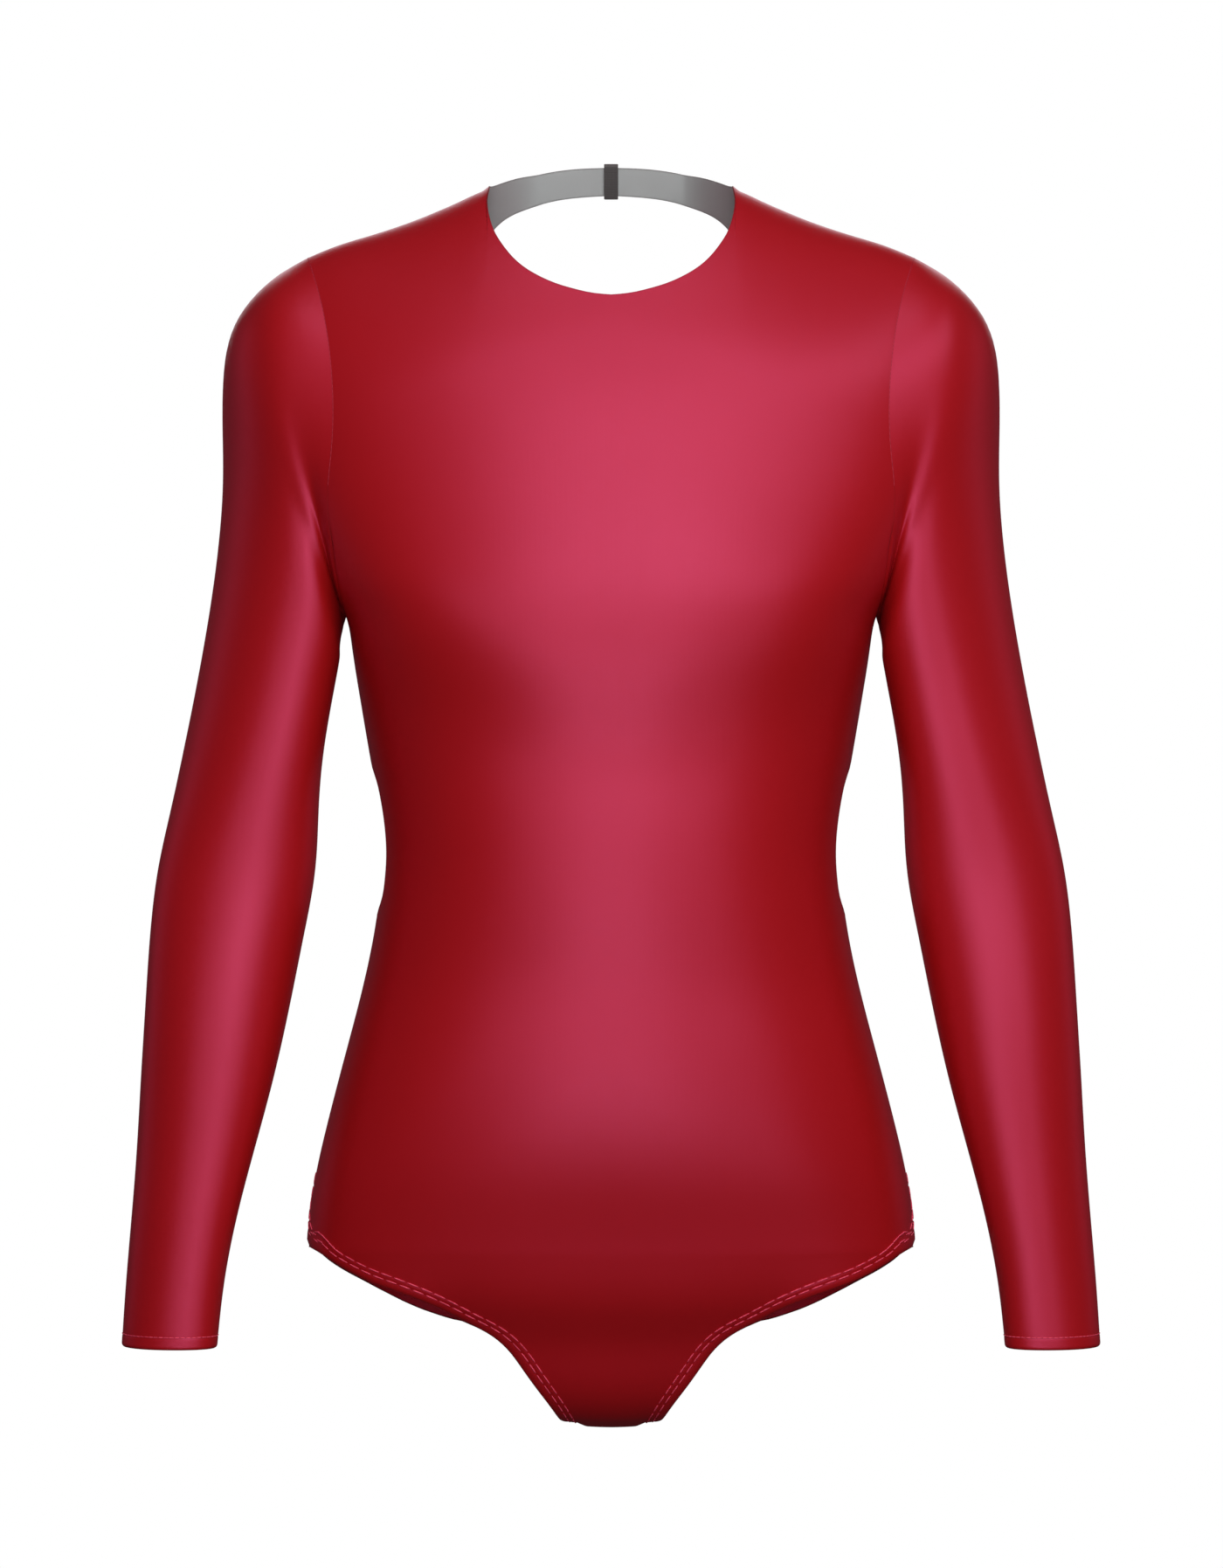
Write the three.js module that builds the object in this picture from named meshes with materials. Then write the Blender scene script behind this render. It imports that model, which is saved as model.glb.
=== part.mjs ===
// A long-sleeved stretch leotard with a round front neck, full brief legs and an open back.
// The back is held at the nape by a narrow strap in two halves, closed by a folded tape.
// It keeps its worn form with no wearer inside: neck, back, cuffs and legs are open.
// Millimetres, +Z up. The front faces -Y and the wearer's left arm is at +X.
// The origin lies between the shoulders, level with the middle of the shoulder seams.

import * as THREE from "three";

// Cloth and seams
const clothWall = 1.2;
const seamGap = 0.3;
const sleeveSeamGap = 0.65;
const legHem = { depth: 9.5, raise: 0.7 };
const cuffHem = { depth: 6.5, raise: 0.45 };
const hemFold = { start: 1, roundness: 0.7 };

// Levels on the body, from the origin. The crotch's counts on down the fan of sections below the hip.
const armholeLow = -213.5;
const cutTop = -291;
const cutBottom = -377;
const hipLevel = -552.5;
const crotchLevel = -700;
const upperBackLow = -290;

// Levels of the front panel's rows between the hip and the armholes
const bellyRowLevels = [-540, -520, -497, -472, -447, -422, -399];
const waistRowLevels = [cutBottom, -361, -343, -325, -308, cutTop];
const ribRowLevels = [-272, -252, -232];

// How far along the open back's edge the rows stand that end on the neck, the shoulder,
// the armhole and the side
const openBackShares = { neck: 0.165, shoulder: 0.32, armhole: 0.77, side: 1 };

// The shoulder's rounding, from the ridge down to where the chest and the back stand at full depth
const shoulderFall = { height: 100, start: 2.4, end: 1.8 };

// From here in, the front's ridge levels off by its rise, so that the chest stays smooth below the neck.
// It comes back to the shoulder seam over the reach under it.
const neckRoot = { x: 76, rise: 30, reach: 14 };

// How finely each piece is stepped
const frontSteps = { halfColumns: 16, neckColumns: 8, legRows: 14, yokeRows: 14 };
const upperBackSteps = { columns: 5, strapRows: 9, shoulderRows: 8, armRows: 12, sideRows: 5 };
const seatSteps = { halfColumns: 14, legRows: 14, bodyRows: 8 };
const sleeveSteps = { around: 28, capRows: 11, armRows: 14, hemRows: 2 };
const lineSamples = 160;
const placePasses = 30;
const legSpread = 0.76;
const nearby = { across: 0.0005, level: 0.02, x: 0.1 };

// Body sections: half width, reach to the front and to the back of the centre line, and squareness.
// Below the hip level they turn like a fan about the hip line, down to the crotch.
const bodySections = [
  { level: 60, halfWidth: 192, front: 40, back: 46, centre: 0, frontSquare: 2.3, backSquare: 2.5 },
  { level: 35, halfWidth: 194, front: 43, back: 56, centre: 0, frontSquare: 2.3, backSquare: 2.5 },
  { level: 15, halfWidth: 196, front: 46, back: 64.5, centre: 0, frontSquare: 2.3, backSquare: 2.5 },
  { level: -12, halfWidth: 197, front: 53, back: 74, centre: 0, frontSquare: 2.3, backSquare: 2.5 },
  { level: -45, halfWidth: 197, front: 66, back: 83, centre: 1, frontSquare: 2.3, backSquare: 2.5 },
  { level: -75, halfWidth: 193, front: 80, back: 89, centre: 3, frontSquare: 2.32, backSquare: 2.5 },
  { level: -105, halfWidth: 186, front: 93, back: 93, centre: 5, frontSquare: 2.36, backSquare: 2.5 },
  { level: -135, halfWidth: 178, front: 104, back: 94, centre: 7, frontSquare: 2.46, backSquare: 2.5 },
  { level: -160, halfWidth: 169, front: 111.5, back: 93, centre: 8, frontSquare: 2.6, backSquare: 2.5 },
  { level: -182, halfWidth: 159.5, front: 116.5, back: 91, centre: 9, frontSquare: 2.78, backSquare: 2.5 },
  { level: -200, halfWidth: 150, front: 119, back: 88, centre: 9.5, frontSquare: 2.95, backSquare: 2.5 },
  { level: -213.5, halfWidth: 142.8, front: 120, back: 85.5, centre: 10, frontSquare: 3.0, backSquare: 2.5 },
  { level: -230, halfWidth: 139.4, front: 119.5, back: 83, centre: 10, frontSquare: 2.8, backSquare: 2.45 },
  { level: -258, halfWidth: 135.2, front: 115, back: 78, centre: 9, frontSquare: 2.42, backSquare: 2.4 },
  { level: -291, halfWidth: 129.6, front: 109.5, back: 73, centre: 8, frontSquare: 2.3, backSquare: 2.35 },
  { level: -318, halfWidth: 125.2, front: 108.5, back: 70, centre: 7, frontSquare: 2.28, backSquare: 2.35 },
  { level: -343, halfWidth: 123.6, front: 107.5, back: 69, centre: 6, frontSquare: 2.26, backSquare: 2.35 },
  { level: -376, halfWidth: 126.2, front: 104.5, back: 72, centre: 5, frontSquare: 2.28, backSquare: 2.35 },
  { level: -410, halfWidth: 132.8, front: 101.5, back: 80.5, centre: 5, frontSquare: 2.3, backSquare: 2.4 },
  { level: -447, halfWidth: 142.3, front: 100.5, back: 93, centre: 5, frontSquare: 2.34, backSquare: 2.45 },
  { level: -485, halfWidth: 152.2, front: 96.5, back: 105, centre: 5, frontSquare: 2.4, backSquare: 2.5 },
  { level: -517, halfWidth: 159.4, front: 89, back: 112, centre: 5, frontSquare: 2.42, backSquare: 2.5 },
  { level: -552.5, halfWidth: 163.6, front: 78, back: 114, centre: 5, frontSquare: 2.4, backSquare: 2.5 },
  { level: -590, halfWidth: 163.6, front: 72.5, back: 112.5, centre: 5, frontSquare: 2.32, backSquare: 2.4 },
  { level: -626, halfWidth: 163.6, front: 73.5, back: 105.5, centre: 5, frontSquare: 2.15, backSquare: 2.2 },
  { level: -658, halfWidth: 163.6, front: 86.5, back: 98.4, centre: 5, frontSquare: 2, backSquare: 2.05 },
  { level: -680, halfWidth: 163.6, front: 94.8, back: 96.2, centre: 5, frontSquare: 1.92, backSquare: 1.93 },
  { level: -700, halfWidth: 163.6, front: 96.6, back: 96.6, centre: 5, frontSquare: 1.85, backSquare: 1.85 },
];

// The shoulder seam from above the neck point to past the shoulder point
const shoulderRidge = [
  { x: 40, z: 90 },
  { x: 48, z: 62 },
  { x: 55, z: 40 },
  { x: 60, z: 27.5 },
  { x: 65.5, z: 17.5 },
  { x: 72, z: 13.4 },
  { x: 80, z: 9.7 },
  { x: 91, z: 4.8 },
  { x: 102, z: 0.2 },
  { x: 118, z: -5.6 },
  { x: 131, z: -9.7 },
  { x: 146, z: -14.3 },
  { x: 163, z: -21.2 },
  { x: 185, z: -31.5 },
];

// Edges drawn on the body, as seen from the front or the back: distance from the centre and height
const frontNeck = [
  { x: 0, z: -46.2 },
  { x: 9.8, z: -45.2 },
  { x: 20, z: -42.8 },
  { x: 28.8, z: -40 },
  { x: 39, z: -35.2 },
  { x: 46.6, z: -30.2 },
  { x: 52.5, z: -24.6 },
  { x: 57.8, z: -17.6 },
  { x: 61.6, z: -11.2 },
  { x: 64.4, z: -3.5 },
  { x: 66, z: 4 },
  { x: 66.4, z: 10 },
  { x: 65.5, z: 17.5 },
];
const backNeck = [
  { x: 0, z: 32.7 },
  { x: 18, z: 32.1 },
  { x: 35, z: 30 },
  { x: 44, z: 28 },
  { x: 49, z: 26.5 },
  { x: 54, z: 24.3 },
  { x: 58, z: 22.1 },
  { x: 61.5, z: 19.9 },
  { x: 63.8, z: 18.4 },
  { x: 65.5, z: 17.5 },
];
const frontArmhole = [
  { x: 163, z: -21.2 },
  { x: 157.2, z: -38 },
  { x: 151.6, z: -60 },
  { x: 147.9, z: -86 },
  { x: 146.8, z: -108 },
  { x: 147.8, z: -130 },
  { x: 149.6, z: -150 },
  { x: 149.3, z: -163 },
  { x: 148.2, z: -176 },
  { x: 146.8, z: -189 },
  { x: 145, z: -202 },
  { x: 142.8, z: -213.5 },
];
const backArmhole = [
  { x: 163, z: -21.2 },
  { x: 157.5, z: -38 },
  { x: 152.5, z: -60 },
  { x: 149.5, z: -86 },
  { x: 148.6, z: -112 },
  { x: 149.2, z: -140 },
  { x: 149.8, z: -162 },
  { x: 148.4, z: -183 },
  { x: 145.8, z: -201 },
  { x: 142.8, z: -213.5 },
];
const frontLeg = [
  { x: 163.6, z: -552.5 },
  { x: 160.2, z: -553.6 },
  { x: 154.9, z: -555.9 },
  { x: 147.3, z: -560.2 },
  { x: 137.3, z: -565.2 },
  { x: 128.4, z: -569 },
  { x: 117.7, z: -572.6 },
  { x: 107.9, z: -576 },
  { x: 98.1, z: -579.8 },
  { x: 90.7, z: -583.1 },
  { x: 82.9, z: -587.2 },
  { x: 75.1, z: -591.5 },
  { x: 64.5, z: -597.4 },
  { x: 54.9, z: -605.8 },
  { x: 47.6, z: -616 },
  { x: 39, z: -628.8 },
  { x: 31.6, z: -640 },
  { x: 27.5, z: -647.6 },
];
const backLeg = [
  { x: 163.6, z: -552.5 },
  { x: 160, z: -559 },
  { x: 152.5, z: -567 },
  { x: 143.6, z: -573.5 },
  { x: 134.7, z: -579 },
  { x: 127.5, z: -583.5 },
  { x: 119.6, z: -588 },
  { x: 109.6, z: -593 },
  { x: 97.6, z: -597.5 },
  { x: 87.4, z: -601 },
  { x: 76, z: -604.8 },
  { x: 66, z: -610 },
  { x: 56, z: -617 },
  { x: 46, z: -626.5 },
  { x: 38, z: -635.5 },
  { x: 32, z: -642 },
  { x: 27.5, z: -647.6 },
];
const openingUpper = [
  { x: 0, z: 18.4 },
  { x: 18, z: 17.3 },
  { x: 34, z: 14.9 },
  { x: 47, z: 10.6 },
  { x: 57, z: 5 },
  { x: 63.5, z: -1 },
  { x: 69, z: -8.5 },
  { x: 75.5, z: -19.5 },
  { x: 84.5, z: -37.5 },
  { x: 93, z: -62 },
  { x: 100.5, z: -92 },
  { x: 107, z: -126 },
  { x: 113, z: -162 },
  { x: 118.5, z: -200 },
  { x: 123.3, z: -236 },
  { x: 127, z: -266 },
  { x: 129.4, z: -289.5 },
];
const openingLower = [
  { x: 126.1, z: -378.5 },
  { x: 121, z: -388 },
  { x: 110, z: -400 },
  { x: 92, z: -414 },
  { x: 68, z: -427 },
  { x: 38, z: -436.5 },
  { x: 0, z: -440 },
];

// How far round the side the front panel reaches at the waist,
// where the open back cuts in front of the side seam
const sideCut = [
  { level: -291, across: 1 },
  { level: -299, across: 0.905 },
  { level: -311, across: 0.86 },
  { level: -328, across: 0.842 },
  { level: -344, across: 0.838 },
  { level: -357, across: 0.85 },
  { level: -368, across: 0.888 },
  { level: -377, across: 1 },
];

// Sleeve rings, each through an outer and an inner point, with its reach to the front and the back,
// and its lean: how far it moves in for each millimetre to the front.
// The first ones tilt from the armhole to level, the others go down the arm to the cuff.
const sleeveRings = [
  { outerX: 181.5, outerZ: -32, innerX: 143.7, innerZ: -217, centre: 6, front: 60, back: 62, lean: 0 },
  { outerX: 201.4, outerZ: -53, innerX: 144, innerZ: -220.5, centre: 6, front: 57.5, back: 57, lean: 0.1 },
  { outerX: 209.8, outerZ: -86, innerX: 144.7, innerZ: -226, centre: 4, front: 53, back: 52, lean: 0.2 },
  { outerX: 209.9, outerZ: -140, innerX: 145.5, innerZ: -235, centre: 1, front: 48.5, back: 47, lean: 0.28 },
  { outerX: 223.4, outerZ: -250, innerX: 147.9, innerZ: -250, centre: -1, front: 43.5, back: 43.5, lean: 0.3 },
  { outerX: 229.6, outerZ: -282, innerX: 153.5, innerZ: -282, centre: -2, front: 42, back: 42, lean: 0.27 },
  { outerX: 236.6, outerZ: -316, innerX: 156.8, innerZ: -316, centre: -3, front: 40.5, back: 40.5, lean: 0.2 },
  { outerX: 243.4, outerZ: -349, innerX: 158.6, innerZ: -349, centre: -5, front: 39, back: 39.5, lean: 0.12 },
  { outerX: 247.4, outerZ: -385, innerX: 164.6, innerZ: -385, centre: -9, front: 38.5, back: 39, lean: 0.07 },
  { outerX: 249.6, outerZ: -423, innerX: 172, innerZ: -423, centre: -14, front: 37.5, back: 37.5, lean: 0.07 },
  { outerX: 251.6, outerZ: -460, innerX: 180, innerZ: -460, centre: -19, front: 35, back: 35, lean: 0.12 },
  { outerX: 253.4, outerZ: -497, innerX: 189.6, innerZ: -497, centre: -24, front: 31.5, back: 31.5, lean: 0.17 },
  { outerX: 255.8, outerZ: -533, innerX: 198.8, innerZ: -533, centre: -29, front: 28, back: 28, lean: 0.22 },
  { outerX: 258.6, outerZ: -570, innerX: 205.8, innerZ: -570, centre: -33, front: 25, back: 25, lean: 0.25 },
  { outerX: 260.6, outerZ: -603.5, innerX: 209.4, innerZ: -603.5, centre: -36, front: 23.5, back: 23.5, lean: 0.25 },
];
const sleeveSquare = 2.12;

// The ring under the arm where the sleeve's closer rows end, counted from the first
const lowestCapRing = 4;

// The closing tape at the nape, folded round both strap ends
const tape = { width: 7.6, wall: 0.9, clearance: 0.4, middleZ: 25.2, strapHeight: 16.4 };

const clothFinish = { color: 0x9c1f2b, roughness: 0.45, metalness: 0, side: THREE.DoubleSide };
const tapeFinish = { color: 0x575556, roughness: 0.7, metalness: 0 };

// A smooth curve through the values at the knots, straight at both ends
function curveThrough(knots, values) {
  const count = knots.length;
  const bend = new Array(count).fill(0);
  const carry = new Array(count).fill(0);
  for (let i = 1; i < count - 1; i++) {
    const span = knots[i + 1] - knots[i - 1];
    const share = (knots[i] - knots[i - 1]) / span;
    const after = (values[i + 1] - values[i]) / (knots[i + 1] - knots[i]);
    const before = (values[i] - values[i - 1]) / (knots[i] - knots[i - 1]);
    const pivot = share * bend[i - 1] + 2;
    bend[i] = (share - 1) / pivot;
    carry[i] = ((6 * (after - before)) / span - share * carry[i - 1]) / pivot;
  }
  for (let i = count - 2; i >= 0; i--) bend[i] = bend[i] * bend[i + 1] + carry[i];
  return (at) => {
    let low = 0;
    while (low < count - 2 && knots[low + 1] < at) low++;
    const step = knots[low + 1] - knots[low];
    const b = (at - knots[low]) / step;
    const a = 1 - b;
    const curve = ((a ** 3 - a) * bend[low] + (b ** 3 - b) * bend[low + 1]) * (step ** 2 / 6);
    return a * values[low] + b * values[low + 1] + curve;
  };
}

// One smooth curve for each named column of a table, over the column that is named as its measure
function curvesOf(rows, measure) {
  const sorted = [...rows].sort((a, b) => a[measure] - b[measure]);
  const knots = sorted.map((row) => row[measure]);
  const names = Object.keys(rows[0]).filter((name) => name !== measure);
  return Object.fromEntries(names.map((name) => [name, curveThrough(knots, sorted.map((row) => row[name]))]));
}

const bodyCurves = curvesOf(bodySections, "level");
const ridgeHeight = curvesOf(shoulderRidge, "x").z;
const cutAcross = curvesOf(sideCut, "level").across;

const neckRootHeight = ridgeHeight(neckRoot.x);
const neckRootSlope = (ridgeHeight(neckRoot.x - nearby.x) - neckRootHeight) / nearby.x;

// The height of the shoulder ridge at a distance from the centre, as a level of the body reads it
function ridgeOn(side, x, level) {
  const seam = ridgeHeight(Math.max(x, shoulderRidge[0].x));
  const inside = neckRoot.x - x;
  if (side > 0 || inside <= 0) return seam;
  const levelled = neckRootHeight + neckRoot.rise * (1 - Math.exp((-inside * neckRootSlope) / neckRoot.rise));
  const near = THREE.MathUtils.smoothstep(level, levelled - neckRoot.reach, levelled);
  return THREE.MathUtils.lerp(levelled, seam, near);
}

// The share of its full depth that the body has at a height near the shoulder, 0 on the shoulder seam
function depthShare(side, x, level) {
  const rise = (level - ridgeOn(side, x, level) + shoulderFall.height) / shoulderFall.height;
  if (rise <= 0) return 1;
  if (rise >= 1) return 0;
  return (1 - rise ** shoulderFall.start) ** (1 / shoulderFall.end);
}

function sectionAt(side, level) {
  const square = side < 0 ? bodyCurves.frontSquare(level) : bodyCurves.backSquare(level);
  return {
    halfWidth: bodyCurves.halfWidth(level),
    reach: side < 0 ? bodyCurves.front(level) : bodyCurves.back(level),
    centre: bodyCurves.centre(level),
    power: 2 / square,
  };
}

function fanTurn(level) {
  return (Math.max(0, hipLevel - level) / (hipLevel - crotchLevel)) * (Math.PI / 2);
}

// A point of the body form. side is -1 for the front and 1 for the back,
// and across runs from 0 at the centre to 1 at the side.
function bodyPoint(side, across, level) {
  const section = sectionAt(side, level);
  const turn = (Math.min(across, 1) * Math.PI) / 2;
  const x = section.halfWidth * Math.sin(turn) ** section.power;
  const depth = section.reach * Math.max(Math.cos(turn), 0) ** section.power * depthShare(side, x, level);
  const fan = fanTurn(level);
  return new THREE.Vector3(
    x,
    section.centre + side * (depth * Math.cos(fan) + seamGap / 2),
    Math.max(level, hipLevel) - depth * Math.sin(fan),
  );
}

// The outward direction of the body form at a place on it
function bodyNormal(side, across, level) {
  const inside = Math.min(Math.max(across, nearby.across), 1 - nearby.across);
  const near = (across, rise) => bodyPoint(side, inside + across, level + rise);
  const over = near(nearby.across, 0).sub(near(-nearby.across, 0));
  const up = near(0, nearby.level).sub(near(0, -nearby.level));
  return over.cross(up).multiplyScalar(-side).normalize();
}

function bodySpot(side, place) {
  return {
    point: bodyPoint(side, place.across, place.level),
    normal: bodyNormal(side, place.across, place.level),
  };
}

function acrossAt(side, x, level) {
  const section = sectionAt(side, level);
  const share = Math.min(1, x / section.halfWidth);
  return (Math.asin(share ** (1 / section.power)) * 2) / Math.PI;
}

// The place on the body of a point seen from the front or back at x and z.
// Below the hip its level is found by halving the fan.
function placeOf(side, x, z) {
  if (z >= hipLevel) return { across: acrossAt(side, x, z), level: z };
  let above = hipLevel;
  let below = crotchLevel;
  for (let pass = 0; pass < placePasses; pass++) {
    const level = (above + below) / 2;
    if (bodyPoint(side, acrossAt(side, x, level), level).z > z) above = level;
    else below = level;
  }
  return { across: acrossAt(side, x, below), level: below };
}

// An edge drawn on the body through a table of x and z, walked evenly along its real length.
// heightAt, where given, holds it exactly on that curve of height over x.
function edgeOn(side, rows, heightAt) {
  const knots = [0];
  for (let i = 1; i < rows.length; i++) {
    knots.push(knots[i - 1] + Math.hypot(rows[i].x - rows[i - 1].x, rows[i].z - rows[i - 1].z));
  }
  const xAt = curveThrough(knots, rows.map((row) => row.x));
  const zAt = curveThrough(knots, rows.map((row) => row.z));
  const places = [];
  const lengths = [0];
  let before = null;
  for (let i = 0; i <= lineSamples; i++) {
    const at = (knots[knots.length - 1] * i) / lineSamples;
    const x = Math.max(0, xAt(at));
    const place = placeOf(side, x, heightAt ? heightAt(x) : zAt(at));
    const point = bodyPoint(side, place.across, place.level);
    if (before) lengths.push(lengths[i - 1] + point.distanceTo(before));
    places.push(place);
    before = point;
  }
  const whole = lengths[lineSamples];
  const walk = (share) => {
    const goal = Math.min(Math.max(share, 0), 1) * whole;
    let low = 0;
    while (low < lineSamples - 1 && lengths[low + 1] < goal) low++;
    const part = (goal - lengths[low]) / (lengths[low + 1] - lengths[low] || 1);
    const across = THREE.MathUtils.lerp(places[low].across, places[low + 1].across, part);
    const level = THREE.MathUtils.lerp(places[low].level, places[low + 1].level, part);
    return { across, level };
  };
  return Object.assign(walk, { whole, points: places.map((p) => bodyPoint(side, p.across, p.level)) });
}

// A closed cloth wall from a grid of spots, each a point on its outer face and the outward direction.
// The outer face is raised where raiseAt says, and the inner face is one wall further in.
function clothWallFrom(grid, { wraps = false, raiseAt = () => 0 } = {}) {
  const rows = grid.length;
  const columns = grid[0].length;
  const positions = [];
  for (const face of ["outer", "inner"]) {
    for (const { point, normal } of grid.flat()) {
      const shift = face === "outer" ? raiseAt(point) : -clothWall;
      positions.push(...point.clone().addScaledVector(normal, shift).toArray());
    }
  }
  const index = [];
  const outer = (r, c) => r * columns + (c % columns);
  const inner = (r, c) => rows * columns + outer(r, c);
  const quad = (a, b, c, d) => index.push(a, b, c, a, c, d);
  const spans = wraps ? columns : columns - 1;
  for (let r = 0; r < rows - 1; r++) {
    for (let c = 0; c < spans; c++) {
      quad(outer(r, c), outer(r, c + 1), outer(r + 1, c + 1), outer(r + 1, c));
      quad(inner(r, c), inner(r + 1, c), inner(r + 1, c + 1), inner(r, c + 1));
    }
  }
  for (let c = 0; c < spans; c++) {
    quad(outer(0, c), inner(0, c), inner(0, c + 1), outer(0, c + 1));
    quad(outer(rows - 1, c), outer(rows - 1, c + 1), inner(rows - 1, c + 1), inner(rows - 1, c));
  }
  for (let r = 0; r < rows - 1 && !wraps; r++) {
    const last = columns - 1;
    quad(outer(r, 0), outer(r + 1, 0), inner(r + 1, 0), inner(r, 0));
    quad(outer(r, last), inner(r, last), inner(r + 1, last), outer(r + 1, last));
  }
  const geometry = new THREE.BufferGeometry();
  geometry.setAttribute("position", new THREE.Float32BufferAttribute(positions, 3));
  geometry.setIndex(index);
  geometry.computeVertexNormals();
  return geometry;
}

function distanceToLine(point, line) {
  const segment = new THREE.Line3();
  const nearest = new THREE.Vector3();
  let least = Infinity;
  for (let i = 1; i < line.length; i++) {
    segment.set(line[i - 1], line[i]).closestPointToPoint(point, true, nearest);
    least = Math.min(least, nearest.distanceTo(point));
  }
  return least;
}

// The low swell of a turned hem: rounded at the fold, and back to nothing at its stitching
function hemSwell(distance, hem) {
  if (distance >= hem.depth) return 0;
  const share = Math.min(1, (distance + hemFold.start) / (hem.depth + hemFold.start));
  return hem.raise * Math.sin(Math.PI * share) ** hemFold.roundness;
}

const neckPoint = frontNeck[frontNeck.length - 1];
const shoulderPoint = frontArmhole[0];
const shoulderSeam = shoulderRidge.filter((row) => row.x >= neckPoint.x && row.x <= shoulderPoint.x);
const edges = {
  frontNeck: edgeOn(-1, frontNeck),
  backNeck: edgeOn(1, backNeck),
  frontShoulder: edgeOn(-1, shoulderSeam, ridgeHeight),
  backShoulder: edgeOn(1, shoulderSeam, ridgeHeight),
  frontArmhole: edgeOn(-1, frontArmhole),
  backArmhole: edgeOn(1, backArmhole),
  frontLeg: edgeOn(-1, frontLeg),
  backLeg: edgeOn(1, backLeg),
  openingUpper: edgeOn(1, openingUpper),
  openingLower: edgeOn(1, openingLower),
};

function blend(a, b, share) {
  return {
    across: THREE.MathUtils.lerp(a.across, b.across, share),
    level: THREE.MathUtils.lerp(a.level, b.level, share),
  };
}

// A patch filled between four edges, each a function of its share, in places on the body
function filledPatch(bottom, top, left, right, across, up) {
  const mix = (name) =>
    (1 - up) * bottom(across)[name] +
    up * top(across)[name] +
    (1 - across) * left(up)[name] +
    across * right(up)[name] -
    (1 - across) * (1 - up) * bottom(0)[name] -
    across * (1 - up) * bottom(1)[name] -
    (1 - across) * up * top(0)[name] -
    across * up * top(1)[name];
  return { across: mix("across"), level: mix("level") };
}

function acrossSpread(rowSide, level, halfColumns) {
  return Array.from({ length: halfColumns + 1 }, (_, i) => ({ across: (rowSide * i) / halfColumns, level }));
}

// Both halves of a row of spots, from the places of one half
function wholeRow(side, half) {
  const spots = half.map((place) => bodySpot(side, place));
  const flip = (vector) => new THREE.Vector3(-vector.x, vector.y, vector.z);
  const others = spots.slice(1).reverse();
  return [...others.map(({ point, normal }) => ({ point: flip(point), normal: flip(normal) })), ...spots];
}

// Rows that fan down from the hip to the crotch, each ending on the leg edge
function legRowsOf(side, leg, steps) {
  const rows = [];
  for (let i = 0; i < steps.legRows; i++) {
    const end = leg(1 - i / steps.legRows);
    const middle = THREE.MathUtils.lerp(crotchLevel, hipLevel, (i / steps.legRows) ** legSpread);
    rows.push(
      Array.from({ length: steps.halfColumns + 1 }, (_, c) => {
        const share = c / steps.halfColumns;
        const rise = THREE.MathUtils.smoothstep(share, 0, 1);
        return { across: end.across * share, level: THREE.MathUtils.lerp(middle, end.level, rise) };
      }),
    );
  }
  return rows;
}

// Front panel, from the crotch seam to the neck and the shoulder seams
function frontPanel() {
  const steps = frontSteps;
  const halves = legRowsOf(-1, edges.frontLeg, steps);
  for (const level of [hipLevel, ...bellyRowLevels, ...waistRowLevels, ...ribRowLevels]) {
    const inCut = level > cutBottom && level < cutTop;
    halves.push(acrossSpread(inCut ? cutAcross(level) : 1, level, steps.halfColumns));
  }
  const neckShare = steps.neckColumns / steps.halfColumns;
  const bottom = (share) => ({ across: share, level: armholeLow });
  const top = (share) =>
    share <= neckShare
      ? edges.frontNeck(share / neckShare)
      : edges.frontShoulder((share - neckShare) / (1 - neckShare));
  const middle = (share) => ({ across: 0, level: THREE.MathUtils.lerp(armholeLow, frontNeck[0].z, share) });
  const armhole = (share) => edges.frontArmhole(1 - share);
  for (let r = 0; r <= steps.yokeRows; r++) {
    const up = r / steps.yokeRows;
    halves.push(
      Array.from({ length: steps.halfColumns + 1 }, (_, c) =>
        filledPatch(bottom, top, middle, armhole, c / steps.halfColumns, up),
      ),
    );
  }
  const hemLine = edges.frontLeg.points;
  return clothWallFrom(
    halves.map((half) => wholeRow(-1, half)),
    { raiseAt: (p) => hemSwell(distanceToLine(new THREE.Vector3(Math.abs(p.x), p.y, p.z), hemLine), legHem) },
  );
}

// Seat: the lower back panel, from the crotch seam to the bottom of the open back
function seatPanel() {
  const steps = seatSteps;
  const halves = legRowsOf(1, edges.backLeg, steps);
  const bottom = (share) => ({ across: share, level: hipLevel });
  const top = (share) => edges.openingLower(1 - share);
  const middle = (share) => ({ across: 0, level: THREE.MathUtils.lerp(hipLevel, top(0).level, share) });
  const sideSeam = (share) => ({ across: 1, level: THREE.MathUtils.lerp(hipLevel, top(1).level, share) });
  for (let r = 0; r <= steps.bodyRows; r++) {
    const up = r / steps.bodyRows;
    halves.push(
      Array.from({ length: steps.halfColumns + 1 }, (_, c) =>
        filledPatch(bottom, top, middle, sideSeam, c / steps.halfColumns, up),
      ),
    );
  }
  const hemLine = edges.backLeg.points;
  const grid = halves.map((half) => wholeRow(1, half).reverse());
  return clothWallFrom(grid, {
    raiseAt: (p) => hemSwell(distanceToLine(new THREE.Vector3(Math.abs(p.x), p.y, p.z), hemLine), legHem),
  });
}

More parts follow.
